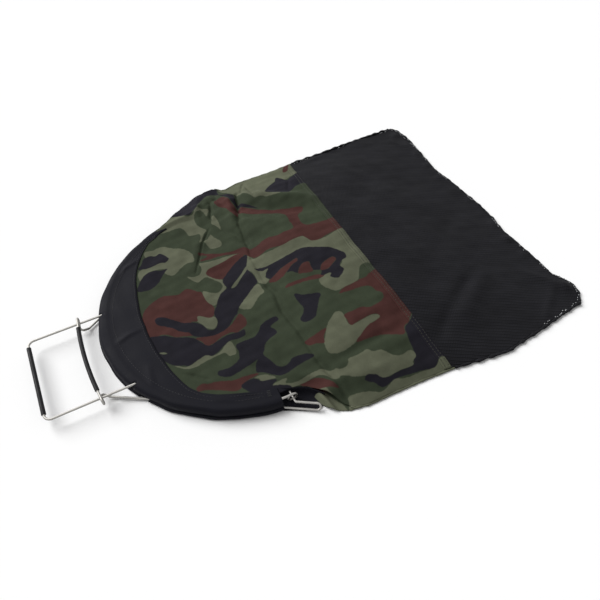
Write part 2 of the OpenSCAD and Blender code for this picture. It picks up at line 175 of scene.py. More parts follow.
print("crown %.0f mm above the floor" % crown_line(np.array(CROWN_AT)))

# %% [markdown]
# The black hem is a strip folded round each wire bow. Its inner edge is a flattened oval that runs out
# towards the hinges, wider on the near side than on the far side where the cloth has rolled over it.
# Each edge is a list of turns away from the mouth's middle, in degrees, with the radius there.
# %% Inner edge of the hems
UPPER_BOW, LOWER_BOW, UPPER_Z, LOWER_Z = 175.0, 181.0, 14.4, 2.8
HEM_FAR = (
    (0, 127.5), (9, 129), (18, 131), (28, 136), (36, 143), (44, 150), (50, 155), (55, 160), (61, 165),
    (65, 168), (69, 171), (73, 174), (77, 176), (90, 178))
HEM_NEAR = (
    (0, 127.5), (13, 130), (26, 136), (38, 146), (46, 154), (52, 157), (59, 157), (66, 156), (71, 156),
    (79, 158), (90, 162))


def hem_inner(x, y):
    turn = np.degrees(np.arctan2(np.abs(y), -x))
    return np.where(y > 0, along(HEM_FAR, turn), along(HEM_NEAR, turn))


print("hem %.0f mm wide at the mouth's middle" % (UPPER_BOW - HEM_FAR[0][1]))

# %% [markdown]
# Cloth is never quite smooth. Broad soft waves come from a few sines in fixed directions, which repeat
# exactly on every run. Single folds are ridges and valleys along short lines, each with its half width
# and its height: the hinges gather the cloth on the far side, and the mouth has pressed a faint line
# across it.
# %% Waves and folds
CLOTH_FOLDS = (
    (12, 132, -9, 104, 1.6, -1.7), (-9, 104, -36, 57, 1.6, -1.7), (7, 139, -40, 66, 7.0, 2.2),
    (84, 194, 68, 150, 3.4, -7.0), (68, 150, 55, 112, 3.6, -5.0), (66, 196, 56, 150, 6.0, 4.0),
    (54, 150, 46, 116, 6.0, 3.0), (56, 113, 50, 70, 3.5, -4.0), (50, 70, 44, 40, 3.0, -3.2),
    (44, 40, 42, -16, 3.5, -2.8), (42, -16, 46, -33, 4.0, -3.4), (46, -33, 42, -63, 4.0, -3.6),
    (42, -63, 47, -105, 4.0, -3.6), (47, -105, 50, -150, 4.0, -3.6), (50, -150, 55, -177, 4.0, -3.6),
    (55, -177, 60, -206, 4.0, -2.8), (92, 180, 186, 112, 9.0, 5.5), (76, 157, 170, 89, 13.0, -8.5),
    (66, 144, 160, 76, 22.0, -3.5), (52, 124, 90, 98, 10.0, 3.5), (44, 84, 76, 68, 10.0, -4.5),
    (104, 218, 87, 186, 2.2, -2.2), (105, 218, 104, 168, 2.0, -2.0), (97, 214, 97, 178, 4.0, 1.6),
    (37, 191, 23, 153, 2.2, -3.2), (30, 194, 16, 158, 5.0, 2.2), (177, 192, 156, 148, 2.5, -1.6),
    (31, 117, 43, 98, 5.0, -3.2), (43, 98, 49, 70, 5.0, -3.0), (20, 196, 32, 212, 5.0, -3.0),
    (40, 210, 46, 168, 5.0, 2.2), (12, 192, 2, 142, 6.0, 1.8), (192, 214, 198, 186, 5.0, 2.0),
    (-110, -88, -97, -97, 2.5, -2.0), (-97, -97, -83, -111, 2.5, -2.2), (-106, -98, -90, -114, 5.0, 1.4),
    (10, -148, 62, -184, 7.0, 3.2), (70, -186, 160, -200, 9.0, 3.2), (60, -160, 180, -158, 8.0, -2.6),
    (-18, -112, 6, -134, 5.0, 2.0), (-24, -120, -2, -142, 4.0, -1.6), (118, 102, 124, 58, 8.0, 1.6),
    (150, -70, 166, -130, 16.0, 1.8), (130, -66, 150, -112, 14.0, -1.6))
MESH_FOLDS = (
    (318, -119, 236, -167, 9.0, -3.0), (236, -167, 190, -200, 9.0, -2.6),
    (340, -124, 250, -182, 11.0, 2.6), (250, 196, 300, 130, 12.0, 2.2), (392, -150, 430, -206, 8.0, 3.0),
    (396, 206, 424, 156, 6.0, 2.4), (360, -226, 410, -190, 6.0, 1.8), (210, 60, 330, 140, 20.0, -1.8),
    (300, -60, 410, 20, 14.0, -1.8), (215, 220, 262, 226, 5.0, 1.4))
FOLD_END, FOLD_RUN = 0.08, 0.84


def soft_waves(x, y, length, seed, count=6):
    draw = np.random.RandomState(seed)
    total = np.zeros_like(x, float)
    for _ in range(count):
        angle, phase = draw.uniform(0, math.pi), draw.uniform(0, 2 * math.pi)
        stretch = draw.uniform(0.7, 1.5)
        way = x * math.cos(angle) + y * math.sin(angle)
        total += np.sin(way * 2 * math.pi / (length * stretch) + phase)
    return total / count ** 0.5


def folds(x, y, lines):
    z = np.zeros_like(x, float)
    for x1, y1, x2, y2, half_width, height in lines:
        t, away = on_line(x, y, x1, y1, x2, y2)
        fading = np.sqrt(np.clip(np.sin(math.pi * (FOLD_END + FOLD_RUN * t)), 0, 1))
        z += height * np.exp(-(away / half_width) ** 2) * fading
    return z


print("folds:", len(CLOTH_FOLDS), "in the cloth and", len(MESH_FOLDS), "in the mesh")

# %% [markdown]
# The height, the folds and the waves together are the surface of the upper side. The hem holds the
# cloth flat beside it, so its folds begin a little way inside. The mesh takes over behind the seam,
# with its own folds, small ruffles along the bottom and a lump at each bottom corner.
# %% Surfaces of cloth and mesh
FREE_INSIDE_HEM, FREE_BEHIND = (2, 22), (-45, -25)
GATHERS_AT, GATHERS_SPREAD, GATHERS_HEIGHT = (55, 160), 48, 1.1
GATHERS_LENGTH, GATHERS_SEED = 23, 6
CLOTH_WAVES, MESH_WAVES = ((0.7, 46, 3), (0.3, 19, 8)), ((0.9, 74, 5), (0.4, 26, 9))
CLOTH_TO_MESH = (SEAM_SIDE - 12, SEAM_SIDE + 40)
RUFFLE_INSIDE, RUFFLE_WIDTH, RUFFLE_HEIGHT, RUFFLE_LENGTH, RUFFLE_SEED = 9, 5, 1.8, 27, 14
CORNER_LUMPS = (((424, -200), 9, 4.0), ((410, 216), 8, 2.5))
MESH_LOWEST = 1.6


def wave_sum(x, y, waves):
    return sum(height * soft_waves(x, y, length, seed) for height, length, seed in waves)


def upper_surface(x, y):
    free = ease(*FREE_INSIDE_HEM, hem_inner(x, y) - np.hypot(x, y)) + ease(*FREE_BEHIND, x)
    gathers = bump(x, y, GATHERS_AT, GATHERS_SPREAD, GATHERS_HEIGHT)
    gathers = gathers * soft_waves(x, y, GATHERS_LENGTH, GATHERS_SEED)
    relief = folds(x, y, CLOTH_FOLDS) + gathers + wave_sum(x, y, CLOTH_WAVES)
    return np.maximum(cloth_height(x, y) + np.clip(free, 0, 1) * relief, EDGE_TOP)


def mesh_surface(x, y):
    back = ease(*CLOTH_TO_MESH, x)
    z = upper_surface(x, y) * (1 - back) + back * (cloth_height(x, y) + folds(x, y, MESH_FOLDS))
    near_bottom = np.exp(-((along(BOTTOM_LINE, y) - x - RUFFLE_INSIDE) / RUFFLE_WIDTH) ** 2)
    ruffles = near_bottom * np.clip(soft_waves(y, np.zeros_like(y), RUFFLE_LENGTH, RUFFLE_SEED), 0, 2)
    wave = wave_sum(x, y, MESH_WAVES) + RUFFLE_HEIGHT * ruffles
    for middle, spread, height in CORNER_LUMPS:
        wave = wave + bump(x, y, middle, spread, height)
    return np.maximum(z + back * wave, MESH_LOWEST)


print("cloth %.1f mm high at the mouth" % upper_surface(np.array(-60.0), np.array(0.0)))

# %% [markdown]
# Every sheet of the bag is a grid over its plan. The maker of a bag cuts flat cloth, so each point also
# keeps its place in that flat cloth in an attribute called plan. Weave and camouflage read that
# attribute, and so they stay on the cloth when it folds. A Solidify modifier gives the cloth its
# thickness.
# %% Cloth from a grid
def cloth_from_faces(name, points, faces, thickness, material):
    mesh = bpy.data.meshes.new(name)
    mesh.from_pydata((points * MM).tolist(), [], faces)
    mesh.validate()
    plan = np.column_stack([points[:, :2] * MM, np.zeros(len(points))])
    flat = mesh.attributes.new("plan", "FLOAT_VECTOR", "POINT")
    flat.data.foreach_set("vector", plan.astype(np.float32).ravel())
    mesh.polygons.foreach_set("use_smooth", [True] * len(mesh.polygons))
    mesh.materials.append(material)
    piece = add_to_scene(name, mesh)
    if thickness:
        solid = piece.modifiers.new("thickness", "SOLIDIFY")
        solid.thickness, solid.offset = thickness * MM, -1.0
    return piece


def cloth_from_grid(name, x, y, z, thickness, material):
    index = np.arange(x.size).reshape(x.shape)
    quads = np.stack([index[:-1, :-1], index[1:, :-1], index[1:, 1:], index[:-1, 1:]], -1)
    points = np.stack([x, y, z], -1).reshape(-1, 3)
    return cloth_from_faces(name, points, quads.reshape(-1, 4).tolist(), thickness, material)


def grid_area(x, y, z):
    p = np.stack([x, y, z], -1) * MM
    a, b = p[1:, 1:] - p[:-1, :-1], p[1:, :-1] - p[:-1, 1:]
    return float(np.linalg.norm(np.cross(a, b), axis=-1).sum() / 2)


square = [axis.astype(float) for axis in np.meshgrid((0, 1000), (0, 1000))]
print("area of a square metre: %.1f m2" % grid_area(*square, np.zeros((2, 2))))

# %% [markdown]
# Nodes are wired by a few helpers: one feeds a socket with a value or with another node's output, and
# the others place a single node each and give back what it puts out.
# %% Helpers for nodes
def feed(tree, socket, value):
    if isinstance(value, (int, float, tuple)):
        socket.default_value = value
    else:
        tree.links.new(value, socket)


def math_node(tree, operation, a, b=None, clamp=False):
    node = tree.nodes.new("ShaderNodeMath")
    node.operation, node.use_clamp = operation, clamp
    feed(tree, node.inputs[0], a)
    if b is not None:
        feed(tree, node.inputs[1], b)
    return node.outputs[0]


def times(tree, a, b):
    return math_node(tree, "MULTIPLY", a, b)


def plus(tree, a, b):
    return math_node(tree, "ADD", a, b)


def minus(tree, a, b):
    return math_node(tree, "SUBTRACT", a, b)


def noise_node(tree, vector, scale, detail):
    node = tree.nodes.new("ShaderNodeTexNoise")
    feed(tree, node.inputs["Scale"], scale)
    feed(tree, node.inputs["Detail"], detail)
    feed(tree, node.inputs["Vector"], vector)
    return node.outputs["Fac"]


def spread_node(tree, value, low, high, start=0.0, end=1.0):
    node = tree.nodes.new("ShaderNodeMapRange")
    for label, number in (("From Min", start), ("From Max", end), ("To Min", low), ("To Max", high)):
        feed(tree, node.inputs[label], number)
    feed(tree, node.inputs["Value"], value)
    return node.outputs["Result"]


print("nodes are made for Blender", bpy.app.version_string)

# %% [markdown]
# Colours are written as the usual two-digit codes for red, green and blue, and turned into the linear
# values that a shader adds up. The Mix node has sockets for every kind of value; those for colours have
# fixed numbers.
# %% Helpers for colours
MIX_FACTOR, MIX_FIRST, MIX_SECOND, MIX_RESULT = 0, 6, 7, 2


def colour(code):
    parts = [int(code[i:i + 2], 16) / 255 for i in (0, 2, 4)]
    return tuple(p / 12.92 if p <= 0.04045 else ((p + 0.055) / 1.055) ** 2.4 for p in parts) + (1.0,)


def mix_colours(tree, mask, first, second, blend="MIX"):
    node = tree.nodes.new("ShaderNodeMix")
    node.data_type, node.blend_type = "RGBA", blend
    for number, value in ((MIX_FACTOR, mask), (MIX_FIRST, first), (MIX_SECOND, second)):
        feed(tree, node.inputs[number], value)
    return node.outputs[MIX_RESULT]


print("olive is", ["%.3f" % part for part in colour("5d604f")])

# %% [markdown]
# Two effects are shared by several finishes, so each is a node group. The weave group gives the height
# of a plain weave from the cloth's own plan, thread over thread. The fading group gives a slow, cloudy
# mask for rubbed and dusty places. They put out values only; the shader stays in each material.
# %% Node groups for weave and fading
WEAVE_DEPTH, SLUB_SHADE, CROSS_SHADE = 0.5, 0.6, 0.08
FADING_FROM, FADING_CONTRAST = 0.32, 2.6


def new_group(name, setting, value, outputs):
    group = bpy.data.node_groups.new(name, "ShaderNodeTree")
    group.interface.new_socket("Plan", in_out="INPUT", socket_type="NodeSocketVector")
    number = group.interface.new_socket(setting, in_out="INPUT", socket_type="NodeSocketFloat")
    number.default_value = value
    for label in outputs:
        group.interface.new_socket(label, in_out="OUTPUT", socket_type="NodeSocketFloat")
    given, out = group.nodes.new("NodeGroupInput"), group.nodes.new("NodeGroupOutput")
    return group, given.outputs["Plan"], given.outputs[setting], out


def make_weave():
    group, plan, threads, out = new_group("Plain weave", "Threads per metre", 900.0,
                                          ("Height", "Thread shade"))
    wobble = noise_node(group, plan, scale=260.0, detail=2.0)
    parts = group.nodes.new("ShaderNodeSeparateXYZ")
    feed(group, parts.inputs[0], plan)
    turns = times(group, threads, math.pi)
    warp, weft = (math_node(group, "SINE", times(group, parts.outputs[k], turns)) for k in (0, 1))
    cross = times(group, warp, weft)
    feed(group, out.inputs["Height"], plus(group, times(group, cross, WEAVE_DEPTH), wobble))
    slub = noise_node(group, plan, scale=900.0, detail=2.0)
    shade = plus(group, times(group, slub, SLUB_SHADE), times(group, cross, CROSS_SHADE))
    feed(group, out.inputs["Thread shade"], shade)
    return group


def make_fading():
    group, plan, size, out = new_group("Cloudy fading", "Size", 18.0, ("Mask",))
    clouds = minus(group, noise_node(group, plan, scale=size, detail=5.0), FADING_FROM)
    feed(group, out.inputs["Mask"], math_node(group, "MULTIPLY", clouds, FADING_CONTRAST, clamp=True))
    return group


WEAVE, FADING = make_weave(), make_fading()
print("groups:", WEAVE.name, "/", FADING.name)

# %% [markdown]
# Every finish starts as a material with one Principled shader and ends in the same way: a cloudy mask
# shades its colour and makes it unevenly rough, and a height gives it a bump.
# %% Helpers for finishes
def new_finish(name, roughness, metallic=0.0, specular=0.5):
    material = bpy.data.materials.new(name)
    material.use_nodes = True
    shader = material.node_tree.nodes["Principled BSDF"]
    shader.inputs["Roughness"].default_value = roughness
    shader.inputs["Metallic"].default_value = metallic
    shader.inputs["Specular IOR Level"].default_value = specular
    return material, material.node_tree, shader


def stored(tree, attribute):
    node = tree.nodes.new("ShaderNodeAttribute")
    node.attribute_name = attribute
    return node


def place_on_object(tree):
    return tree.nodes.new("ShaderNodeTexCoord").outputs["Object"]


def place_group(tree, group, plan, setting, value):
    node = tree.nodes.new("ShaderNodeGroup")
    node.node_tree = group
    feed(tree, node.inputs["Plan"], plan)
    feed(tree, node.inputs[setting], value)
    return node


def shaded(tree, base, value, low, high):
    return mix_colours(tree, 1.0, base, spread_node(tree, value, low, high), "MULTIPLY")


def finish_off(tree, shader, base, mask, shades, roughness, height, depth, strength):
    feed(tree, shader.inputs["Base Color"], shaded(tree, base, mask, *shades))
    feed(tree, shader.inputs["Roughness"], spread_node(tree, mask, *roughness))
    node = tree.nodes.new("ShaderNodeBump")
    feed(tree, node.inputs["Strength"], strength)
    feed(tree, node.inputs["Distance"], depth)
    feed(tree, node.inputs["Height"], height)
    feed(tree, shader.inputs["Normal"], node.outputs["Normal"])


print("finishes so far:", len(bpy.data.materials))

# %% [markdown]
# The camouflage is the common woodland print: olive, brown and near-black shapes on dark green. On real
# cloth it is printed with rollers. Here every shape is an outline on the plan; each point of the cloth
# stores how far inside a shape it lies, and the finish turns that distance into a crisp, slightly
# ragged edge. This keeps the print sharp without any picture.
# %% Outlines of the camouflage shapes
OLIVE = (
    ((-62, 162), (-45, 172), (-30, 185), (-18, 180), (-8, 172), (2, 173), (12, 186), (14, 178),
     (4, 172), (-1, 160), (0, 145), (8, 132), (2, 126), (-6, 112), (-12, 108), (-6, 118), (-5, 128),
     (-14, 130), (-20, 133), (-22, 146), (-27, 154), (-40, 156), (-52, 156)),
    ((13, 186), (20, 181), (28, 178), (24, 168), (19, 160), (18, 172)),
    ((20, 140), (24, 152), (28, 160), (31, 152), (31, 140), (28, 122), (25, 132)),
    ((-92, 126), (-88, 131), (-78, 128), (-70, 130), (-60, 128), (-50, 118), (-38, 110), (-30, 98),
     (-29, 85), (-33, 77), (-42, 80), (-52, 76), (-60, 70), (-68, 68), (-76, 76), (-74, 84), (-86, 88),
     (-98, 88), (-104, 81), (-110, 78), (-112, 86), (-108, 97), (-102, 100), (-92, 118)),
    ((-4, 110), (2, 112), (10, 120), (12, 112), (18, 100), (17, 92), (10, 89), (0, 92), (-3, 102)),
    ((-50, 56), (-42, 51), (-32, 52), (-27, 60), (-26, 71), (-15, 68), (2, 66), (16, 64), (29, 61),
     (20, 58), (2, 57), (-14, 55), (-22, 51), (-24, 46), (-16, 36), (-8, 28), (-8, 14), (-14, 4),
     (-34, -10), (-42, 4), (-40, 20), (-30, 12), (-20, 9), (-13, 14), (-12, 22), (-18, 32), (-27, 43),
     (-40, 39), (-46, 46)),
    ((30, 30), (37, 47), (43, 47), (47, 36), (62, 34), (84, 33), (104, 36), (124, 36), (130, 26),
     (142, 20), (160, 22), (174, 26), (204, 32), (204, -46), (176, -48), (166, -54), (158, -66),
     (150, -72), (134, -73), (118, -74), (108, -66), (104, -56), (106, -47), (122, -43), (140, -40),
     (152, -30), (150, -10), (130, 5), (100, 10), (70, 8), (52, 6), (46, -2), (48, -10), (40, -11),
     (34, -4), (34, 12), (29, 24)),
    ((-7, -28), (0, -22), (14, -12), (24, -6), (32, -6), (34, -14), (34, -22), (26, -25), (16, -32),
     (8, -38), (2, -36)),
    ((-66, -20), (-60, -15), (-54, -20), (-42, -27), (-40, -34), (-44, -42), (-50, -45), (-57, -40),
     (-60, -32)),
    ((-113, -74), (-108, -77), (-100, -82), (-92, -81), (-82, -78), (-72, -77), (-66, -82), (-54, -81),
     (-46, -75), (-37, -73), (-36, -90), (-40, -93), (-46, -92), (-51, -85), (-64, -85), (-78, -86),
     (-94, -87), (-104, -83)),
    ((64, -146), (66, -134), (72, -126), (78, -118), (86, -111), (94, -106), (100, -103), (106, -106),
     (107, -116), (106, -126), (112, -129), (126, -128), (140, -127), (149, -130), (150, -134),
     (142, -136), (128, -139), (116, -145), (104, -151), (90, -154), (76, -154), (68, -151)),
    ((52, -170), (62, -171), (72, -174), (79, -172), (84, -166), (98, -167), (110, -166), (116, -172),
     (126, -174), (132, -180), (140, -188), (150, -190), (162, -189), (165, -198), (156, -203),
     (154, -207), (136, -206), (112, -206), (102, -199), (90, -194), (78, -190), (66, -182),
     (54, -180)),
    ((-18, -154), (-8, -152), (4, -152), (0, -158), (14, -161), (34, -160), (50, -161), (56, -168),
     (66, -172), (62, -182), (54, -180), (46, -170), (36, -166), (20, -166), (4, -165), (-4, -160),
     (-14, -157)),
    ((-32, -135), (-22, -135), (-12, -141), (-8, -146), (-18, -145), (-28, -143), (-26, -139)),
    ((60, -206), (72, -207), (88, -212), (100, -218), (116, -214), (122, -211), (136, -216),
     (160, -218), (180, -220), (190, -214), (202, -213), (208, -224), (206, -236), (150, -236),
     (100, -234), (70, -230), (54, -224), (58, -212)),
    ((24, -174), (36, -176), (44, -196), (52, -214), (48, -224), (34, -212), (26, -188)),
    ((62, 228), (64, 216), (72, 206), (80, 196), (88, 188), (94, 180), (100, 168), (102, 162),
     (112, 158), (118, 152), (128, 148), (140, 145), (140, 149), (130, 154), (122, 160), (124, 168),
     (132, 178), (144, 186), (152, 192), (158, 200), (162, 202), (166, 192), (172, 188), (180, 192),
     (196, 192), (204, 200), (204, 236), (150, 236), (100, 236), (70, 234)))
BROWN = (
    ((-126, -22), (-130, 5), (-124, 22), (-112, 32), (-102, 36), (-92, 38), (-82, 34), (-72, 31),
     (-60, 35), (-54, 32), (-48, 24), (-42, 20), (-42, 8), (-40, -2), (-36, -10), (-40, -24),
     (-48, -26), (-60, -16), (-64, -24), (-72, -22), (-76, -34), (-76, -42), (-86, -39), (-98, -34),
     (-106, -26), (-114, -22)),
    ((-76, -48), (-66, -50), (-52, -53), (-40, -53), (-28, -50), (-18, -44), (-10, -38), (-6, -46),
     (-8, -58), (-18, -62), (-24, -64), (-32, -60), (-46, -62), (-60, -66), (-68, -64), (-70, -56)),
    ((-24, 48), (-20, 54), (-8, 56), (10, 58), (26, 61), (36, 56), (34, 50), (24, 48), (10, 40),
     (0, 32), (-8, 28), (-16, 34), (-22, 42)),
    ((-24, 76), (-10, 72), (2, 71), (18, 66), (32, 60), (44, 44), (50, 50), (47, 62), (38, 68),
     (22, 70), (6, 76), (-8, 84), (-18, 92), (-21, 88), (-10, 80)),
    ((44, 64), (50, 56), (60, 56), (70, 60), (80, 61), (92, 56), (104, 58), (118, 58), (122, 64),
     (122, 76), (124, 86), (124, 98), (116, 107), (107, 112), (97, 117), (87, 124), (77, 132),
     (68, 142), (68, 152), (75, 158), (85, 149), (95, 140), (107, 132), (123, 123), (138, 116),
     (152, 110), (160, 105), (154, 96), (142, 86), (138, 74), (138, 62), (144, 56), (160, 54),
     (176, 55), (204, 54), (204, 32), (174, 26), (158, 24), (142, 20), (130, 24), (124, 36), (108, 36),
     (92, 33), (78, 36), (68, 38), (54, 35), (46, 40)),
    ((44, 194), (52, 200), (60, 200), (64, 188), (66, 176), (67, 160), (66, 146), (62, 136), (58, 138),
     (54, 150), (52, 164), (46, 172), (42, 182)),
    ((118, -80), (128, -74), (142, -73), (158, -71), (168, -70), (178, -66), (206, -66), (206, -140),
     (194, -144), (184, -152), (180, -156), (172, -158), (166, -168), (156, -164), (144, -158),
     (134, -155), (116, -153), (102, -152), (112, -146), (126, -139), (146, -135), (150, -131),
     (142, -127), (120, -128), (108, -129), (107, -118), (108, -112), (122, -112), (134, -111),
     (144, -116), (156, -116), (168, -112), (172, -104), (166, -96), (164, -88), (154, -84),
     (142, -82), (130, -81)),
    ((46, -118), (58, -119), (70, -117), (78, -118), (70, -126), (66, -134), (58, -130), (50, -126)),
    ((-100, -116), (-92, -113), (-84, -117), (-76, -118), (-66, -122), (-56, -126), (-42, -127),
     (-30, -129), (-24, -132), (-36, -133), (-46, -136), (-54, -141), (-62, -139), (-70, -134),
     (-80, -128), (-90, -123), (-98, -121)),
    ((14, -166), (24, -166), (36, -168), (46, -176), (54, -188), (54, -192), (46, -188), (38, -184),
     (30, -180), (24, -172)),
    ((178, 212), (182, 222), (190, 232), (198, 234), (192, 220), (186, 212)),
    ((60, -36), (66, -32), (78, -34), (92, -36), (106, -38), (116, -42), (110, -46), (98, -44),
     (82, -40), (66, -38)))
BROWN_ON_BLACK = (
    ((46, -12), (56, -8), (66, -4), (76, -2), (86, 0), (96, 2), (95, -4), (86, -6), (76, -12),
     (64, -18), (52, -18)),
    ((86, -25), (88, -20), (94, -14), (101, -11), (108, -13), (107, -21), (106, -30), (98, -30),
     (91, -27)),
    ((116, -34), (118, -29), (123, -24), (132, -20), (143, -18), (146, -24), (137, -30), (126, -36)))
OLIVE_ON_BLACK = (
    ((42, 4), (48, 9), (55, 8), (50, 4), (46, -1)),
    ((-3, 7), (4, 13), (16, 21), (30, 31), (32, 27), (16, 16), (4, 7)),
    ((-124, -47), (-118, -49), (-115, -53), (-121, -51)))
NEAR_BLACK = (
    ((-108, 102), (-100, 110), (-95, 118), (-85, 120), (-78, 116), (-70, 118), (-64, 108), (-62, 101),
     (-68, 96), (-75, 98), (-90, 97), (-102, 99)),
    ((-120, 62), (-116, 72), (-108, 82), (-98, 88), (-88, 88), (-80, 84), (-70, 83), (-76, 78),
     (-84, 70), (-92, 62), (-102, 58), (-112, 59)),
    ((38, 20), (44, 19), (52, 13), (70, 12), (92, 14), (110, 16), (124, 12), (138, 4), (150, -2),
     (158, -12), (163, -20), (160, -28), (152, -30), (144, -38), (146, -46), (138, -53), (130, -57),
     (122, -50), (126, -44), (112, -42), (116, -34), (104, -28), (96, -27), (86, -24), (78, -16),
     (66, -14), (56, -14), (48, -8), (46, 0), (48, 8)),
    ((40, 51), (30, 51), (18, 46), (8, 40), (0, 34), (-8, 26), (-9, 16), (-8, 10), (-18, 6), (-26, -2),
     (-34, -14), (-40, -22), (-40, -34), (-42, -40), (-48, -46), (-56, -44), (-60, -34), (-68, -24),
     (-80, -18), (-90, -8), (-100, 2), (-108, 6), (-114, 4), (-112, -6), (-104, -12), (-96, -20),
     (-90, -28), (-80, -36), (-76, -44), (-66, -50), (-54, -54), (-42, -54), (-30, -50), (-20, -42),
     (-12, -36), (-6, -28), (4, -20), (16, -12), (26, -6), (33, -2), (33, 10), (30, 28), (36, 40)),
    ((-130, -20), (-112, -24), (-104, -30), (-96, -36), (-84, -42), (-76, -48), (-70, -58), (-64, -66),
     (-50, -64), (-36, -62), (-22, -64), (-14, -64), (-16, -72), (-26, -73), (-38, -72), (-48, -76),
     (-58, -80), (-66, -82), (-72, -78), (-84, -79), (-96, -82), (-106, -77), (-114, -72), (-122, -62),
     (-130, -45)),
    ((-30, -80), (-20, -80), (-6, -80), (2, -74), (8, -68), (18, -65), (30, -66), (32, -72), (24, -74),
     (18, -76), (22, -84), (20, -90), (10, -92), (0, -98), (-4, -104), (-8, -110), (-4, -120),
     (-2, -126), (2, -134), (12, -136), (24, -130), (36, -132), (48, -138), (46, -142), (34, -142),
     (22, -143), (10, -146), (0, -146), (-10, -140), (-20, -132), (-26, -128), (-22, -118),
     (-18, -114), (-30, -116), (-44, -118), (-56, -120), (-66, -116), (-70, -110), (-66, -106),
     (-56, -108), (-46, -106), (-38, -102), (-34, -92), (-34, -84)),
    ((64, -54), (68, -52), (74, -58), (82, -62), (92, -65), (96, -70), (90, -76), (84, -84), (78, -92),
     (72, -98), (62, -98), (56, -94), (56, -88), (62, -84), (66, -78), (65, -66)),
    # This black shape along the far collar is print, and in part painted shade of the collar's fold.
    ((-34, 186), (-22, 194), (-14, 206), (0, 214), (16, 224), (34, 233), (52, 234), (60, 228),
     (58, 214), (62, 206), (70, 204), (78, 194), (76, 182), (75, 174), (79, 166), (87, 156), (99, 143),
     (94, 144), (79, 156), (71, 165), (68, 172), (66, 186), (62, 200), (56, 212), (48, 218), (38, 216),
     (28, 206), (18, 196), (12, 186), (4, 178), (-4, 173), (-14, 177), (-22, 182)),
    ((122, 160), (124, 168), (132, 178), (144, 186), (152, 190), (156, 198), (160, 203), (165, 196),
     (170, 186), (178, 188), (190, 192), (206, 194), (206, 150), (188, 158), (176, 158), (164, 150),
     (152, 144), (142, 148), (132, 154)),
    ((164, -198), (166, -186), (168, -172), (172, -160), (184, -154), (196, -146), (208, -150),
     (208, -212), (192, -212), (184, -218), (176, -220), (160, -217), (140, -214), (124, -212),
     (112, -214), (104, -214), (98, -206), (88, -198), (94, -194), (104, -198), (114, -206),
     (136, -206), (154, -207), (158, -202)),
    ((-50, -138), (-40, -134), (-30, -136), (-26, -142), (-14, -146), (-8, -150), (-16, -154),
     (0, -160), (4, -166), (-10, -174), (-30, -164), (-44, -150)))
print("camouflage shapes:", len(OLIVE) + len(BROWN) + len(NEAR_BLACK))

# %% [markdown]
# Distance to an outline is worked out point by point: the nearest stretch of the outline gives the
# distance, and counting how often a line to the side crosses it tells inside from outside. The corners
# are rounded first with a smooth closed curve through the outline's points.
# %% Depth of a point inside the camouflage shapes
REACH, TINY = 8.0, 1e-9


def smooth_outline(points, steps=4):
    p = np.array(points, float)
    before, after, beyond = np.roll(p, 1, 0), np.roll(p, -1, 0), np.roll(p, -2, 0)
    rows = []
    for t in np.arange(steps) / steps:
        square = (2 * before - 5 * p + 4 * after - beyond) * t ** 2
        cube = (3 * p - before - 3 * after + beyond) * t ** 3
        rows.append(0.5 * (2 * p + (after - before) * t + square + cube))
    return np.stack(rows, 1).reshape(-1, 2)


def shape_depth(outlines, x, y):
    depth = np.full(x.shape, -REACH)
    for outline in outlines:
        loop = smooth_outline(outline)
        low, high = loop.min(0) - REACH, loop.max(0) + REACH
        near = (x > low[0]) & (x < high[0]) & (y > low[1]) & (y < high[1])
        px, py = x[near], y[near]
        best, inside = np.full(px.shape, REACH ** 2), np.zeros(px.shape, bool)
        for (ax, ay), (bx, by) in zip(loop, np.roll(loop, -1, 0)):
            dx, dy = bx - ax, by - ay
            t = np.clip(((px - ax) * dx + (py - ay) * dy) / (dx * dx + dy * dy + TINY), 0, 1)
            best = np.minimum(best, (px - ax - t * dx) ** 2 + (py - ay - t * dy) ** 2)
            if dy:
                inside ^= ((ay > py) != (by > py)) & (px < ax + (py - ay) * dx / dy)
        depth[near] = np.maximum(depth[near], np.where(inside, 1, -1) * np.sqrt(best))
    return depth


def print_camouflage(piece):
    flat = np.zeros(len(piece.data.vertices) * 3, np.float32)
    piece.data.attributes["plan"].data.foreach_get("vector", flat)
    x, y = flat.reshape(-1, 3)[:, 0] / MM, flat.reshape(-1, 3)[:, 1] / MM
    olive_on_black = shape_depth(OLIVE_ON_BLACK, x, y)
    on_black = np.maximum(shape_depth(BROWN_ON_BLACK, x, y), olive_on_black)
    depths = {"olive": shape_depth(OLIVE + OLIVE_ON_BLACK, x, y),
              "brown": np.minimum(shape_depth(BROWN + BROWN_ON_BLACK, x, y), -olive_on_black),
              "black": np.minimum(shape_depth(NEAR_BLACK, x, y), -on_black)}
    for name, depth in depths.items():
        layer = piece.data.attributes.new(name, "FLOAT", "POINT")
        layer.data.foreach_set("value", (depth / REACH).astype(np.float32))


print("points of the first shape once it is rounded:", len(smooth_outline(OLIVE[0])))

# %% [markdown]
# The camouflage finish lays the three printed colours over the green in turn. Noise frays each edge by
# about half a millimetre, the weave darkens single threads, and two fading masks take a little colour
# out of rubbed places. The cloth is matt.
# %% Camouflage finish
FRAY, EDGE_SHARPNESS = 2.6, 0.9


def printed(tree, attribute, ragged):
    depth = times(tree, stored(tree, attribute).outputs["Fac"], REACH)
    frayed = plus(tree, depth, times(tree, minus(tree, ragged, 0.5), FRAY))
    return math_node(tree, "ADD", times(tree, frayed, EDGE_SHARPNESS), 0.5, clamp=True)


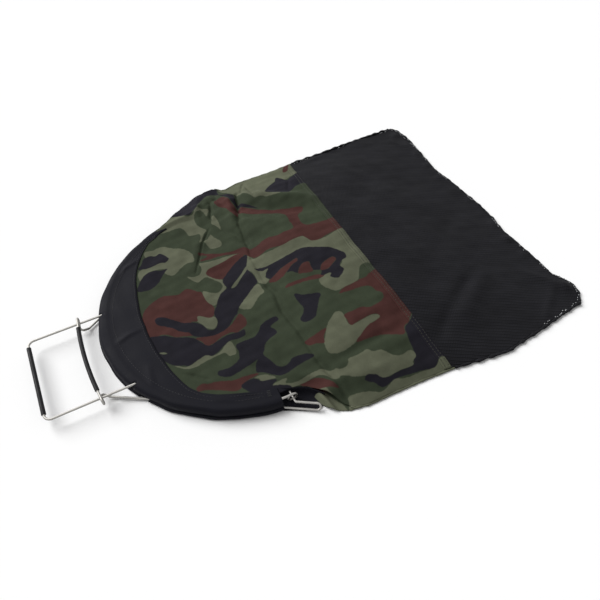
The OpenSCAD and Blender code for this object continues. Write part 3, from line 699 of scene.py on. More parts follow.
def camouflage_finish():
    material, tree, shader = new_finish("camouflage_cloth", roughness=0.85, specular=0.06)
    plan = stored(tree, "plan").outputs["Vector"]
    ragged = noise_node(tree, plan, scale=170.0, detail=4.0)
    cloth = colour("383f31")
    for attribute, code in (("olive", "5d604f"), ("brown", "472d2a"), ("black", "212026")):
        cloth = mix_colours(tree, printed(tree, attribute, ragged), cloth, colour(code))
    weave = place_group(tree, WEAVE, plan, "Threads per metre", 1100.0)
    cloth = shaded(tree, cloth, weave.outputs["Thread shade"], low=0.80, high=1.22)
    blotches = place_group(tree, FADING, plan, "Size", 85.0)
    cloth = shaded(tree, cloth, blotches.outputs["Mask"], low=0.93, high=1.08)
    faded = place_group(tree, FADING, plan, "Size", 22.0)
    finish_off(tree, shader, cloth, faded.outputs["Mask"], shades=(0.9, 1.12), roughness=(0.78, 0.92),
               height=weave.outputs["Height"], depth=0.00022, strength=0.55)
    return material


CAMOUFLAGE = camouflage_finish()
print("finish:", CAMOUFLAGE.name)

CLOTH_COLUMNS, CLOTH_ROWS, CLOTH_T, FRONT_X = 210, 290, 0.7, -135.0
u = np.linspace(0, 1, CLOTH_COLUMNS)[:, None]
v = np.linspace(-1, 1, CLOTH_ROWS)[None, :]
cloth_x = FRONT_X + (seam_at(v) - FRONT_X) * u
cloth_y = across_bag(cloth_x, v)
cloth_z = upper_surface(cloth_x, cloth_y)
upper_cloth = cloth_from_grid("upper_cloth", cloth_x, cloth_y, cloth_z, CLOTH_T, CAMOUFLAGE)
print_camouflage(upper_cloth)
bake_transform(upper_cloth)
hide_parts("upper_camo_panel", "upper_camo_flap")

# %% [markdown]
# The lower cloth lies on the floor under the whole front of the bag. It shows only where the side seam
# stops short of the near hinge, and inside the mouth when the jaw is open.
# %% Lower camouflage cloth
LOWER_TOP, LOWER_T, LOWER_WAVES = 1.0, 0.5, ((0.12, 40, 12),)
LOWER_UNDER_SEAM, LOWER_FAR_LIMIT = TURNED * 0.2, 231
LOWER_FAR_IN, FAR_IN_BEGINS, FAR_IN_ENDS = 8.0, (-75, -50), (60, 110)
LOWER_FOLDS = ((31, -180, 38, -212, 4.0, 6.0),)
lower_x = FRONT_X + (seam_at(v) + LOWER_UNDER_SEAM - FRONT_X) * u
far_in = LOWER_FAR_IN * ease(*FAR_IN_BEGINS, lower_x) * (1 - ease(*FAR_IN_ENDS, lower_x))
lower_far = np.minimum(along(FAR_LINE, lower_x) - far_in, LOWER_FAR_LIMIT)
lower_y = between(along(LOWER_NEAR_LINE, lower_x), lower_far, v)
lower_z = LOWER_TOP + wave_sum(lower_x, lower_y, LOWER_WAVES) + folds(lower_x, lower_y, LOWER_FOLDS)
lower_cloth = cloth_from_grid("lower_cloth", lower_x, lower_y, lower_z, LOWER_T, CAMOUFLAGE)
print_camouflage(lower_cloth)
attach(lower_cloth, "bag")
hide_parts("lower_camo_panel")

# %% [markdown]
# Along the back the cloth is turned under and sewn down over the mesh with two rows of stitching. The
# needle pulls the cloth down, so the strip has two shallow grooves, and its edge rolls over.
# %% Turned edge over the mesh
STITCH_ROWS, GROOVE, GROOVE_WIDTH = (2.5, 7.5), 0.45, 0.8
PUCKER, PUCKER_LENGTH = 0.10, 5.0
STRIP_COLUMNS, STRIP_ROWS, STRIP_T, STRIP_ENDS = 22, 190, 0.45, 0.995
STRIP_OVERLAP, STRIP_RISE, STRIP_ROLL, ROLL_SHARE, STRIP_CLEAR = 0.6, 1.2, 1.6, 0.75, 0.1


def turned_edge(name, surface, lift, node):
    s = np.linspace(-STRIP_OVERLAP, TURNED, STRIP_COLUMNS)[:, None]
    w = np.linspace(-STRIP_ENDS, STRIP_ENDS, STRIP_ROWS)[None, :]
    x = seam_at(w) + s
    y = across_bag(x, w)
    rolled = 1 - ROLL_SHARE * ease(TURNED - STRIP_ROLL, TURNED, s)
    z = surface(x, y) + lift * ease(-STRIP_OVERLAP, STRIP_RISE, s) * rolled + STRIP_CLEAR
    pucker = PUCKER * np.sin(y * 2 * math.pi / PUCKER_LENGTH)
    for row in STITCH_ROWS:
        z = z - (GROOVE + pucker) * np.exp(-((s - row) / GROOVE_WIDTH) ** 2)
    strip = cloth_from_grid(name, x, y, z, STRIP_T, CAMOUFLAGE)
    print_camouflage(strip)
    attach(strip, "bag")
    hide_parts(node)
    print("%s: %.4f m2" % (name, grid_area(x, y, z)))
    return strip


def low_surface(x, y):
    return np.full_like(x, LOWER_TOP + STRIP_CLEAR)


upper_turned = turned_edge("upper_turned_edge", mesh_surface, lift=1.1, node="upper_seam_facing")
lower_turned = turned_edge("lower_turned_edge", low_surface, lift=0.35, node="lower_seam_facing")

# %% [markdown]
# The bag is sewn with twisted thread. A diagonal wave gives the twist and its bump, and the fading mask
# wears it unevenly. The same finish serves three threads in different colours.
# %% Thread finish
def thread_finish(name, code):
    material, tree, shader = new_finish(name, roughness=0.6, specular=0.35)
    where = place_on_object(tree)
    wave = tree.nodes.new("ShaderNodeTexWave")
    wave.bands_direction = "DIAGONAL"
    for label, value in (("Scale", 900.0), ("Distortion", 2.0), ("Vector", where)):
        feed(tree, wave.inputs[label], value)
    worn = place_group(tree, FADING, where, "Size", 60.0)
    twist = shaded(tree, colour(code), wave.outputs["Fac"], low=0.7, high=1.25)
    finish_off(tree, shader, twist, worn.outputs["Mask"], shades=(0.85, 1.2), roughness=(0.5, 0.75),
               height=wave.outputs["Fac"], depth=0.0002, strength=0.6)
    return material


SEAM_THREAD = thread_finish("seam_thread", "35362d")
HEM_THREAD = thread_finish("hem_thread", "17171b")
PALE_THREAD = thread_finish("overlock_thread", "b0b1b3")
print("threads:", SEAM_THREAD.name, HEM_THREAD.name, PALE_THREAD.name)

# %% [markdown]
# Stitches and rolled edges are tubes: rings of points, joined by faces and closed at both ends. Both
# follow a line, so the distance along it is needed too.
# %% Tubes
def distances(line):
    return np.concatenate([[0], np.cumsum(np.linalg.norm(np.diff(line, axis=0), axis=1))])


def tube_faces(first, rings, sides):
    faces = []
    for start in range(first, first + (rings - 1) * sides, sides):
        for k in range(sides):
            a, b = start + k, start + (k + 1) % sides
            faces.append((a, b, b + sides, a + sides))
    last = first + (rings - 1) * sides
    return faces + [tuple(reversed(range(first, first + sides))), tuple(range(last, last + sides))]


print("a tube of two square rings has", len(tube_faces(0, 2, 4)), "faces")

# %% [markdown]
# A stitch is a short, slightly raised stretch of thread that dips into the cloth at both ends. Each row
# is one mesh of many such stitches, laid end to end along a line on the cloth. A stitch is a tube of five
# rings, each with its place along the stitch, its thickness and its rise.
# %% Rows of stitches
STITCH_RINGS = (
    (-0.5, 0.35, -0.5), (-0.34, 0.9, 0.1), (0.0, 1.0, 0.35), (0.34, 0.9, 0.1), (0.5, 0.35, -0.5))
STITCH_SIDES, LOOK_AHEAD = 6, 0.5
STITCH_FACES = len(tube_faces(0, len(STITCH_RINGS), STITCH_SIDES))


def one_stitch(spot, ahead, length, radius):
    way = (ahead - spot) / (np.linalg.norm(ahead - spot) + TINY)
    side = np.cross((0, 0, 1), way)
    side /= np.linalg.norm(side) + TINY
    up = np.cross(way, side)
    points = []
    for place, thick, rise in STITCH_RINGS:
        for k in range(STITCH_SIDES):
            turn = 2 * math.pi * k / STITCH_SIDES
            high = up * (rise * radius + math.sin(turn) * radius * thick)
            points.append(spot + way * place * length + high + side * math.cos(turn) * radius * thick)
    return points


def stitch_row(name, lines, material, body, node, length=3.0, gap=1.1, radius=0.38):
    points, faces = [], []
    for line in lines:
        run = distances(line)
        for middle in np.arange(length, run[-1] - length, length + gap):
            spot, ahead = (np.array([np.interp(at, run, line[:, k]) for k in range(3)])
                           for at in (middle, middle + LOOK_AHEAD))
            faces += tube_faces(len(points), len(STITCH_RINGS), STITCH_SIDES)
            points += one_stitch(spot, ahead, length, radius)
    piece = cloth_from_faces(name, np.array(points), faces, 0, material)
    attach(piece, body)
    if node:
        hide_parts(node)
    print("%s: %d stitches" % (name, len(faces) // STITCH_FACES))
    return piece


print("one stitch has", STITCH_FACES, "faces")

# %% [markdown]
# Two such rows hold each turned edge, one in each of its grooves.
# %% Stitching along the seams
SEAM_SAMPLES = 400


def seam_lines(surface, lift, ends):
    w = np.linspace(-ends, ends, SEAM_SAMPLES)
    lines = []
    for row in STITCH_ROWS:
        x = seam_at(w) + row
        y = across_bag(x, w)
        lines.append(np.column_stack([x, y, surface(x, y) + lift]))
    return lines


upper_stitches = stitch_row("upper_seam_stitches", seam_lines(mesh_surface, lift=0.85, ends=0.985),
                            SEAM_THREAD, "bag", "upper_seam_thread")
lower_stitches = stitch_row("lower_seam_stitches", seam_lines(low_surface, lift=0.2, ends=0.93),
                            SEAM_THREAD, "bag", "lower_seam_thread")

# %% [markdown]
# The mesh is a fine black knit with small holes in slanting rows. Real holes at this size would need
# millions of faces, so the knit is drawn by the finish: slanting ribs, dark holes and a matching bump.
# The cloth's outline, its waves and its rolled edges are real geometry.
# %% Knit finish
SLANT, RIB_STRETCH, HOLE_DARKNESS = 0.52, 0.14, 0.95


def make_knit():
    group, plan, holes, out = new_group("Knit mesh", "Holes per metre", 420.0, ("Hole", "Height", "Rib"))
    parts = group.nodes.new("ShaderNodeSeparateXYZ")
    feed(group, parts.inputs[0], plan)
    x, y = parts.outputs[0], parts.outputs[1]
    turns = times(group, holes, math.pi)
    across = minus(group, x, times(group, y, SLANT))
    back = plus(group, y, times(group, x, SLANT))
    a, b = (math_node(group, "SINE", times(group, way, turns)) for way in (across, back))
    hole = times(group, times(group, a, a), times(group, b, b))
    feed(group, out.inputs["Hole"], hole)
    feed(group, out.inputs["Height"], minus(group, 1.0, hole))
    streak = group.nodes.new("ShaderNodeCombineXYZ")
    feed(group, streak.inputs[0], times(group, across, RIB_STRETCH))
    feed(group, streak.inputs[1], back)
    rough = noise_node(group, streak.outputs[0], scale=190.0, detail=4.0)
    row = plus(group, times(group, b, 0.5), 0.5)
    feed(group, out.inputs["Rib"], times(group, row, rough))
    return group


def knit_finish():
    material, tree, shader = new_finish("black_mesh", roughness=0.65, specular=0.06)
    plan = stored(tree, "plan").outputs["Vector"]
    knit = place_group(tree, KNIT, plan, "Holes per metre", 400.0)
    faded = place_group(tree, FADING, plan, "Size", 14.0)
    dark = times(tree, knit.outputs["Hole"], HOLE_DARKNESS)
    base = mix_colours(tree, dark, colour("202023"), colour("060608"))
    base = shaded(tree, base, knit.outputs["Rib"], low=0.65, high=1.8)
    finish_off(tree, shader, base, faded.outputs["Mask"], shades=(0.85, 1.3), roughness=(0.6, 0.72),
               height=knit.outputs["Height"], depth=0.0005, strength=0.7)
    return material


KNIT = make_knit()
BLACK_MESH = knit_finish()
print("finish:", BLACK_MESH.name, "with group", KNIT.name)

# %% [markdown]
# Upper and lower mesh share the same outline: wavy at the bottom seam, with a little ear at the near
# corner where the seam allowance sticks out.
# %% Mesh panels
MESH_COLUMNS, MESH_ROWS, UPPER_MESH_T, LOWER_MESH_T = 92, 176, 0.6, 0.5
LOWER_MESH_TOP, LOWER_MESH_WAVES = LOWER_TOP - 0.1, ((0.1, 50, 15),)
BOTTOM_NEAR, BOTTOM_FAR = -226, 239
w = np.linspace(-1, 1, MESH_ROWS)[None, :]
t = np.linspace(0, 1, MESH_COLUMNS)[:, None]
mesh_x = seam_at(w) + (along(BOTTOM_LINE, between(BOTTOM_NEAR, BOTTOM_FAR, w)) - seam_at(w)) * t
mesh_y = across_bag(mesh_x, w)
mesh_z = mesh_surface(mesh_x, mesh_y)
upper_mesh = cloth_from_grid("upper_mesh", mesh_x, mesh_y, mesh_z, UPPER_MESH_T, BLACK_MESH)
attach(upper_mesh, "bag")
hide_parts("upper_mesh_panel")
lower_mesh_z = LOWER_MESH_TOP + wave_sum(mesh_x, mesh_y, LOWER_MESH_WAVES)
lower_mesh = cloth_from_grid("lower_mesh", mesh_x, mesh_y, lower_mesh_z, LOWER_MESH_T, BLACK_MESH)
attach(lower_mesh, "bag")
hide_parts("lower_mesh_panel")

# %% [markdown]
# The two layers of mesh are sewn together round the edge and turned in, which leaves a thin, lumpy
# roll. A tube whose radius wanders a little along its length gives that roll. The side seams of the
# camouflage cloth are thinner and smoother rolls.
# %% Rolled edges
ROLL_SIDES, ROLL_WIDE, LUMP_LENGTH, THINNEST, THICKEST = 9, 1.25, 14, 0.55, 1.6
EDGE_R, EDGE_Z, EDGE_LUMPS = 1.5, 2.3, 0.32
SEAM_R, SEAM_Z, SEAM_LUMPS = 1.15, 1.35, 0.15
SIDE_OUT, BOTTOM_OUT, SEAM_OUT = 0.4, 0.3, 0.2
NEAR_RUN, FAR_RUN = (204, 423, 220), (204, 412, 210)
BOTTOM_RUN, SEAM_RUN = (-226, 238, 420), (58, 203, 140)


def rolled_edge(name, line, material, radius, lumps, seed):
    way = np.gradient(line, axis=0)
    way /= np.linalg.norm(way, axis=1)[:, None]
    side = np.cross(np.tile((0.0, 0.0, 1.0), (len(line), 1)), way)
    side /= np.linalg.norm(side, axis=1)[:, None]
    run = distances(line)
    wander = soft_waves(run, np.zeros_like(run), LUMP_LENGTH, seed) * lumps
    thick = np.clip(radius * (1 + wander), radius * THINNEST, radius * THICKEST)[:, None, None]
    turn = np.linspace(0, 2 * math.pi, ROLL_SIDES, endpoint=False)[None, :, None]
    ring = side[:, None, :] * np.cos(turn) * thick * ROLL_WIDE
    ring = ring + np.array((0, 0, 1.0)) * np.sin(turn) * thick
    points = (line[:, None, :] + ring).reshape(-1, 3)
    piece = cloth_from_faces(name, points, tube_faces(0, len(line), ROLL_SIDES), 0, material)
    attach(piece, "bag")
    return piece


def level_line(x, y, z):
    return np.column_stack([x, y, np.full(len(x), z)])


near_x, far_x, bottom_y, seam_x = (
    np.linspace(*run) for run in (NEAR_RUN, FAR_RUN, BOTTOM_RUN, SEAM_RUN))
edges = {}
for name, x, y, node, seed in (
        ("near_rolled_edge", near_x, along(NEAR_LINE, near_x) - SIDE_OUT, "near_side_binding", 21),
        ("far_rolled_edge", far_x, along(FAR_LINE, far_x) + SIDE_OUT, "far_side_binding", 22),
        ("bottom_rolled_edge", along(BOTTOM_LINE, bottom_y) + BOTTOM_OUT, bottom_y, "bottom_binding", 23)):
    edges[name] = rolled_edge(name, level_line(x, y, EDGE_Z), BLACK_MESH, EDGE_R, EDGE_LUMPS, seed)
    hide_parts(node)
for name, line, out, seed in (("near_side_seam", NEAR_LINE, -SEAM_OUT, 31),
                              ("far_side_seam", FAR_LINE, SEAM_OUT, 32)):
    path = level_line(seam_x, along(line, seam_x) + out, SEAM_Z)
    edges[name] = rolled_edge(name, path, CAMOUFLAGE, SEAM_R, SEAM_LUMPS, seed)
    print_camouflage(edges[name])
print("rolled edges:", sorted(edges))

# %% [markdown]
# The roll is sewn with an overlock thread. It is worn pale, and it shows where the roll has opened: at
# the corners and in short stretches along the bottom and the sides.
# %% Overlock thread on the edges
BOTTOM_SPANS = ((-226, -203), (-196, -176), (-160, -148), (-118, -106), (-62, -40), (8, 20), (70, 92),
                (128, 140), (158, 186), (190, 212), (214, 234))
NEAR_SPANS, FAR_SPANS = ((352, 364), (374, 398), (408, 420)), ((208, 236), (300, 314), (392, 410))
OVERLOCK_STEP, OVERLOCK_SHIFT, OVERLOCK_HALF, OVERLOCK_LIFT = 3.2, 2.4, 2.6, 0.7
OVERLOCK_INSET, OVERLOCK_TILT, OVERLOCK_SEED = (0.4, 3.4), (-0.4, 0.4), 17
slope = np.linspace(-1, 1, 6)
draw = np.random.RandomState(OVERLOCK_SEED)
worn = []
for spans, line, inward in ((BOTTOM_SPANS, BOTTOM_LINE, -1.0), (NEAR_SPANS, NEAR_LINE, 1.0),
                            (FAR_SPANS, FAR_LINE, -1.0)):
    for low, high in spans:
        middles = np.arange(low, high, OVERLOCK_STEP)
        for middle in middles + draw.uniform(0, OVERLOCK_SHIFT, len(middles)):
            run = middle + OVERLOCK_HALF * slope
            inset, tilt = draw.uniform(*OVERLOCK_INSET), draw.uniform(*OVERLOCK_TILT)
            off = along(line, run) + inward * (inset + tilt * slope)
            x, y = (off, run) if line is BOTTOM_LINE else (run, off)
            worn.append(np.column_stack([x, y, mesh_surface(x, y) + OVERLOCK_LIFT]))
overlock = stitch_row("edge_overlock", worn, PALE_THREAD, "bag", None, length=1.8, gap=2.4, radius=0.5)

# %% [markdown]
# The hems are strips of blue-black nylon, a little glossier than the camouflage. Their finish is the
# weave group again, with coarser threads.
# %% Hem finish
def hem_finish():
    material, tree, shader = new_finish("black_hem", roughness=0.6, specular=0.06)
    plan = stored(tree, "plan").outputs["Vector"]
    weave = place_group(tree, WEAVE, plan, "Threads per metre", 900.0)
    faded = place_group(tree, FADING, plan, "Size", 26.0)
    base = shaded(tree, colour("18181e"), weave.outputs["Thread shade"], low=0.72, high=1.3)
    finish_off(tree, shader, base, faded.outputs["Mask"], shades=(0.9, 1.14), roughness=(0.46, 0.66),
               height=weave.outputs["Height"], depth=0.0002, strength=0.5)
    return material


BLACK_HEM = hem_finish()
print("finish:", BLACK_HEM.name)

# %% [markdown]
# Each hem is folded over its wire bow and sewn down inside it. The height of its top ply is known at
# every point: the upper one lies on the cloth and climbs to the wire, the lower one lies nearly flat.
# The share tells how far a point is on the way from the inner edge to the casing.
# %% Top plies of the hems
HEM_FOLDS = (
    (-150, 98, -122, 113, 3.5, 1.3), (-122, 113, -104, 119, 3.5, 1.1), (-167, -8, -150, -2, 4.0, 1.2),
    (-150, -2, -136, -2, 4.0, 1.0), (-143, -62, -146, -94, 4.0, 0.9))
ON_CLOTH, OVER_WIRE, TUCKED, TUCKED_FROM = 0.9, 1.9, 3.0, (-68, -54)
LOWER_PLY_TOP, LOWER_PLY_RISE = 1.75, 1.8
CASING_IN, NARROWEST, LOWER_WIDER = 7, 9, 4.0


def upper_ply(x, y, share):
    inner = cloth_height(x, y) + ON_CLOTH - TUCKED * ease(*TUCKED_FROM, x) * (y > 0)
    return inner * (1 - share ** 2) + (UPPER_Z + OVER_WIRE) * share ** 2 + folds(x, y, HEM_FOLDS)


def lower_ply(x, y, share):
    return LOWER_PLY_TOP + LOWER_PLY_RISE * share ** 4


def hem_start(out_x, out_y, bow, shift):
    return np.minimum(hem_inner(out_x, out_y) + shift, bow - NARROWEST)


print("upper ply %.1f mm high at the wire" % upper_ply(np.array(-168.0), np.array(0.0), 1.0))

# %% [markdown]
# Each hem is one grid: from the inner edge over the top ply, round the casing and a little way back
# underneath. The casing's section is a list of steps outwards and upwards from the wire. It bulges in
# front and hugs the wire towards the hinges.
# %% Grids of the hems
UPPER_CASING = (
    (-4.2, 1.9), (-2.2, 2.2), (0.0, 2.2), (2.0, 1.9), (3.8, 1.1), (5.4, -0.8), (6.4, -4.2), (6.8, -7.4),
    (6.0, -8.0), (4.4, -6.4), (2.6, -3.8), (0.0, -2.6), (-4.0, -2.0), (-13.0, -1.5))
LOWER_CASING = (
    (-4.2, 0.8), (-2.3, 1.6), (-0.6, 2.0), (1.2, 1.8), (2.4, 1.0), (2.9, -0.2), (2.6, -1.3), (1.5, -2.2),
    (0.0, -2.6), (-3.0, -2.2), (-8.0, -2.0), (-13.0, -2.0))
SWELL = (
    (0, 5.5), (20, 4.2), (30, 2.4), (38, 0.8), (46, -0.3), (56, -1.2), (70, -1.2), (78, 0.2), (90, 0.5))
HEM_COLUMNS, PLY_ROWS, NEAR_END = 460, 12, -85.4
PLY_WAVE, PLY_WAVE_LENGTH, PLY_WAVE_SEED = 0.4, 44, 41
CASING_WAVE, CASING_WAVE_LENGTH, CASING_WAVE_SEED = 0.35, 34, 43
SWELL_REACH, HEM_LOWEST = 3, 0.15


def hem_grid(bow, wire_z, casing, ply, shift, far_end):
    turn = np.radians(np.linspace(far_end, NEAR_END, HEM_COLUMNS))
    out_x, out_y = -np.cos(turn), np.sin(turn)
    inner = hem_start(out_x, out_y, bow, shift)
    rows_r, rows_z = [], []
    for share in np.linspace(0, 1, PLY_ROWS):
        r = inner + (bow - CASING_IN - inner) * share
        wave = soft_waves(out_x * r, out_y * r, PLY_WAVE_LENGTH, PLY_WAVE_SEED)
        rows_r.append(r)
        rows_z.append(ply(out_x * r, out_y * r, share) + PLY_WAVE * share * (1 - share) * 4 * wave)
    wander = soft_waves(turn * bow, np.zeros_like(turn), CASING_WAVE_LENGTH, CASING_WAVE_SEED)
    wander = CASING_WAVE * wander + along(SWELL, np.abs(np.degrees(turn)))
    for dr, dz in casing:
        rows_r.append(bow + dr + wander * np.clip(dr / SWELL_REACH, 0, 1))
        rows_z.append(np.full(HEM_COLUMNS, wire_z + dz))
    r, z = np.array(rows_r), np.maximum(np.array(rows_z), HEM_LOWEST)
    return r, r * out_x, r * out_y, z


upper_grid = hem_grid(UPPER_BOW, UPPER_Z, UPPER_CASING, upper_ply, shift=0.0, far_end=74.5)
lower_grid = hem_grid(LOWER_BOW, LOWER_Z, LOWER_CASING, lower_ply, shift=LOWER_WIDER, far_end=83.5)
print("points: %d upper, %d lower" % (upper_grid[0].size, lower_grid[0].size))

# %% [markdown]
# Where the handle's legs come through, the casing has a window: faces of the grid are left out there, and
# so are the points that no face uses. A window is a stretch across the bag and the radius where it starts.
# %% Hems round the two bows
UPPER_WINDOWS = ((44.4, 48.6, UPPER_BOW + 3.5), (-76.6, -72.4, UPPER_BOW + 3.5))
LOWER_WINDOWS = ((48.0, 57.0, LOWER_BOW + 3.5), (-98.0, -86.0, LOWER_BOW + 2.5))
HEM_T, WINDOW_LOWEST = 0.45, 0.9


def in_window(y, r, z, windows):
    return any(low < y < high and r > inner and z > WINDOW_LOWEST for low, high, inner in windows)


def hem(name, grid, windows, body, node):
    r, x, y, z = grid
    index = np.arange(r.size).reshape(r.shape)
    faces = []
    for i in range(r.shape[0] - 1):
        for j in range(HEM_COLUMNS - 1):
            if not in_window(*(part[i:i + 2, j:j + 2].mean() for part in (y, r, z)), windows):
                faces.append((index[i, j], index[i + 1, j], index[i + 1, j + 1], index[i, j + 1]))
    used, fresh = np.unique(np.array(faces), return_inverse=True)
    points = np.stack([x, y, z], -1).reshape(-1, 3)[used]
    strip = cloth_from_faces(name, points, fresh.reshape(-1, 4).tolist(), HEM_T, BLACK_HEM)
    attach(strip, body)
    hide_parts(node)
    return strip, grid_area(x, y, z)


upper_hem, UPPER_HEM_AREA = hem("upper_hem", upper_grid, UPPER_WINDOWS, "upper_jaw", "upper_hem_band")
lower_hem, LOWER_HEM_AREA = hem("lower_hem", lower_grid, LOWER_WINDOWS, "bag", "lower_hem_band")
print("hems: %.4f and %.4f m2" % (UPPER_HEM_AREA, LOWER_HEM_AREA))

# %% [markdown]
# At the near mouth corner a black sheet of the hem's cloth stands for the inside of the bag, which lies in
# shade behind the hinge: painted shade. It hangs from the edge of the upper cloth, drops to the floor
# behind the eye and spreads out under the hairpin.
# %% Painted shade at the near hinge
SHADE_SHEET_TOP = (
    (-17, -157, 14.8), (-2, -165, 14.6), (11, -169, 13.4), (22, -174, 11.0), (31, -182, 8.5),
    (37, -189, 7.5))
SHADE_SHEET_FOOT = (
    (-19, -182, 0.8), (-6, -188.5, 0.8), (6, -195, 0.8), (17, -201, 0.8), (26, -201.5, 0.8),
    (31, -197, 1.6))
SHADE_SHEET_COLUMNS, SHADE_SHEET_ROWS, SHADE_SHEET_T, SHADE_SHEET_HANG = 44, 30, 0.4, 9


def evenly(line):
    knots, share = np.linspace(0, 1, len(line)), np.linspace(0, 1, SHADE_SHEET_COLUMNS)
    return np.array([np.interp(share, knots, column) for column in zip(*line)])


top, foot = evenly(SHADE_SHEET_TOP), evenly(SHADE_SHEET_FOOT)
drop = np.linspace(0, 1, SHADE_SHEET_ROWS)[:, None]
shade_sheet_x, shade_sheet_y = top[0] + (foot[0] - top[0]) * drop, top[1] + (foot[1] - top[1]) * drop
shade_sheet_z = foot[2] + (top[2] - foot[2]) * (1 - drop) ** SHADE_SHEET_HANG
# The black of this sheet is painted shade, not a part of the bag.
hinge_shade = cloth_from_grid("near_hinge_shade", shade_sheet_x, shade_sheet_y, shade_sheet_z, SHADE_SHEET_T, BLACK_HEM)
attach(hinge_shade, "bag")

# %% [markdown]
# Each hem has a row of stitches beside its casing and one along its inner edge, and a dense bar tack at
# each end, where the strain of opening the mouth comes in.
# %% Stitching on the hems
INNER_INSET, CASING_INSET, ROW_LIFT, ROW_NEAR_END = 3.4, -2.2, -0.05, -80
ROW_SAMPLES, TACK_SAMPLES = 500, 12
TACK_ROWS, TACK_STEP, TACK_LIFT, TACK_OUT, LOWER_TACK_TOP = 5, 0.32, 0.25, 4, 1.9


def hem_lines(bow, ply, shift, far_end):
    turn = np.radians(np.linspace(far_end, ROW_NEAR_END, ROW_SAMPLES))
    out_x, out_y = -np.cos(turn), np.sin(turn)
    inner = hem_start(out_x, out_y, bow, shift)
    casing = bow - CASING_IN
    lines = []
    for r in (inner + INNER_INSET, np.full_like(inner, casing + CASING_INSET)):
        share = np.clip((r - inner) / (casing - inner), 0, 1)
        x, y = out_x * r, out_y * r
        lines.append(np.column_stack([x, y, ply(x, y, share) + ROW_LIFT]))
    return lines


def tack_lines(bow, height, ends):
    lines = []
    for end in ends:
        for k in range(TACK_ROWS):
            turn = math.radians(end - math.copysign(TACK_STEP * k, end))
            out_x, out_y = np.array(-math.cos(turn)), np.array(math.sin(turn))
            inner = float(hem_start(out_x, out_y, bow, shift=0.0))
            r = np.linspace(inner, bow - TACK_OUT, TACK_SAMPLES)
            x, y = out_x * r, out_y * r
            lines.append(np.column_stack([x, y, height(x, y) + TACK_LIFT]))
    return lines


def upper_tack_height(x, y):
    return upper_ply(x, y, 0.5)


def lower_tack_height(x, y):
    return np.full_like(x, LOWER_TACK_TOP)


upper_lines = hem_lines(UPPER_BOW, upper_ply, shift=0.0, far_end=71)
lower_lines = hem_lines(LOWER_BOW, lower_ply, shift=LOWER_WIDER, far_end=80)
upper_rows = stitch_row("upper_hem_stitches", upper_lines, HEM_THREAD, "upper_jaw", "upper_band_thread")
lower_rows = stitch_row("lower_hem_stitches", lower_lines, HEM_THREAD, "bag", "lower_band_thread")
upper_bars = tack_lines(UPPER_BOW, upper_tack_height, (72.5, -82.0))
lower_bars = tack_lines(LOWER_BOW, lower_tack_height, (82.0, -82.0))
upper_tacks = stitch_row("upper_hem_tacks", upper_bars, HEM_THREAD, "upper_jaw", "upper_bar_tacks",
                         length=2.0, gap=0.2, radius=0.4)
lower_tacks = stitch_row("lower_hem_tacks", lower_bars, HEM_THREAD, "bag", "lower_bar_tacks",
                         length=2.0, gap=0.2, radius=0.4)

# %% [markdown]
# The bag has no stuffing, so nothing is padded.
print("the bag has no stuffing")

# %% [markdown]
# The jaws are bright spring wire with a fine grain, dulled here and there. The sleeves on the handles
# are black plastic tube, matt and a little scuffed. Both keep their CAD shape, so their finishes are
# placed by the object's own coordinates.
# %% Wire and sleeve finishes
def wire_finish():
    material, tree, shader = new_finish("bright_wire", roughness=0.2, metallic=1.0)
    where = place_on_object(tree)
    grain = noise_node(tree, where, scale=1400.0, detail=2.0)
    dull = place_group(tree, FADING, where, "Size", 70.0)
    finish_off(tree, shader, colour("9b9995"), dull.outputs["Mask"], shades=(0.85, 1.08),
               roughness=(0.42, 0.58), height=grain, depth=0.00003, strength=0.4)
    return material


def sleeve_finish():
    material, tree, shader = new_finish("black_sleeve", roughness=0.5, specular=0.15)
    where = place_on_object(tree)
    grain = noise_node(tree, where, scale=1600.0, detail=3.0)
    scuffed = place_group(tree, FADING, where, "Size", 90.0)
    finish_off(tree, shader, colour("141416"), scuffed.outputs["Mask"], shades=(0.85, 1.35),
               roughness=(0.4, 0.6), height=grain, depth=0.0001, strength=0.5)
    return material


BRIGHT_WIRE, BLACK_SLEEVE = wire_finish(), sleeve_finish()
for node, finish in (("lower_jaw_wire", BRIGHT_WIRE), ("upper_jaw_wire", BRIGHT_WIRE),
                     ("lower_grip", BLACK_SLEEVE), ("upper_grip", BLACK_SLEEVE)):
    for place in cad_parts[node].material_slots:
        place.material = finish
    print(node, "takes", finish.name)
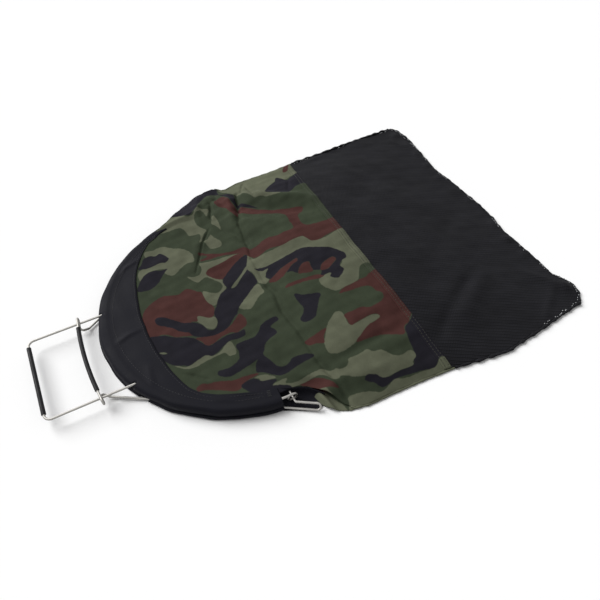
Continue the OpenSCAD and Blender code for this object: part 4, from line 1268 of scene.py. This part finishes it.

# %% [markdown]
# The floor is plain and white, and it isn't part of the bag. It lies a hair below the bag, so that the
# two never share a plane.
# %% Floor
FLOOR_HALF, FLOOR_Z, FLOOR_WHITE = 8.0, -0.0002, (0.97, 0.97, 0.97, 1.0)
floor_mesh = bpy.data.meshes.new("floor")
corners = [(x * FLOOR_HALF, y * FLOOR_HALF, FLOOR_Z) for x, y in ((-1, -1), (1, -1), (1, 1), (-1, 1))]
floor_mesh.from_pydata(corners, [], [(0, 1, 2, 3)])
floor_finish, _, floor_shader = new_finish("pale_floor", roughness=0.9, specular=0.1)
floor_shader.inputs["Base Color"].default_value = FLOOR_WHITE
floor_mesh.materials.append(floor_finish)
floor = add_to_scene("floor", floor_mesh)
print("floor %.0f m wide" % (2 * FLOOR_HALF))

# %% [markdown]
# The light is soft: a sky that is brighter overhead than at the horizon, and a hazy sun from the far
# left that models the folds. The camera and the wire's reflections see the sky as plain white.
# %% Light
SKY_LOW, SKY_HIGH, SKY_HIGH_FROM, SKY_SEEN = 0.16, 0.42, 0.9, (1.0, 1.0, 1.0, 1.0)
SUN_FROM, SUN_POWER, SUN_ANGLE = Vector((-0.6, 1.0, 0.95)), 3.4, 40
world = bpy.data.worlds.new("sky")
bpy.context.scene.world = world
world.use_nodes = True
sky = world.node_tree
height = sky.nodes.new("ShaderNodeSeparateXYZ")
feed(sky, height.inputs[0], sky.nodes.new("ShaderNodeTexCoord").outputs["Generated"])
glow = spread_node(sky, height.outputs["Z"], SKY_LOW, SKY_HIGH, end=SKY_HIGH_FROM)
ray = sky.nodes.new("ShaderNodeLightPath")
seen = math_node(sky, "MAXIMUM", ray.outputs["Is Camera Ray"], ray.outputs["Is Glossy Ray"])
seen = math_node(sky, "MAXIMUM", seen, ray.outputs["Is Transmission Ray"])
background = sky.nodes["Background"]
feed(sky, background.inputs["Color"], mix_colours(sky, seen, glow, SKY_SEEN))
background.inputs["Strength"].default_value = 1.0
sun_data = bpy.data.lights.new("soft_sun", "SUN")
sun_data.energy, sun_data.angle = SUN_POWER, math.radians(SUN_ANGLE)
point_along(add_to_scene("soft_sun", sun_data), -SUN_FROM)
print("light: sky and a hazy sun")
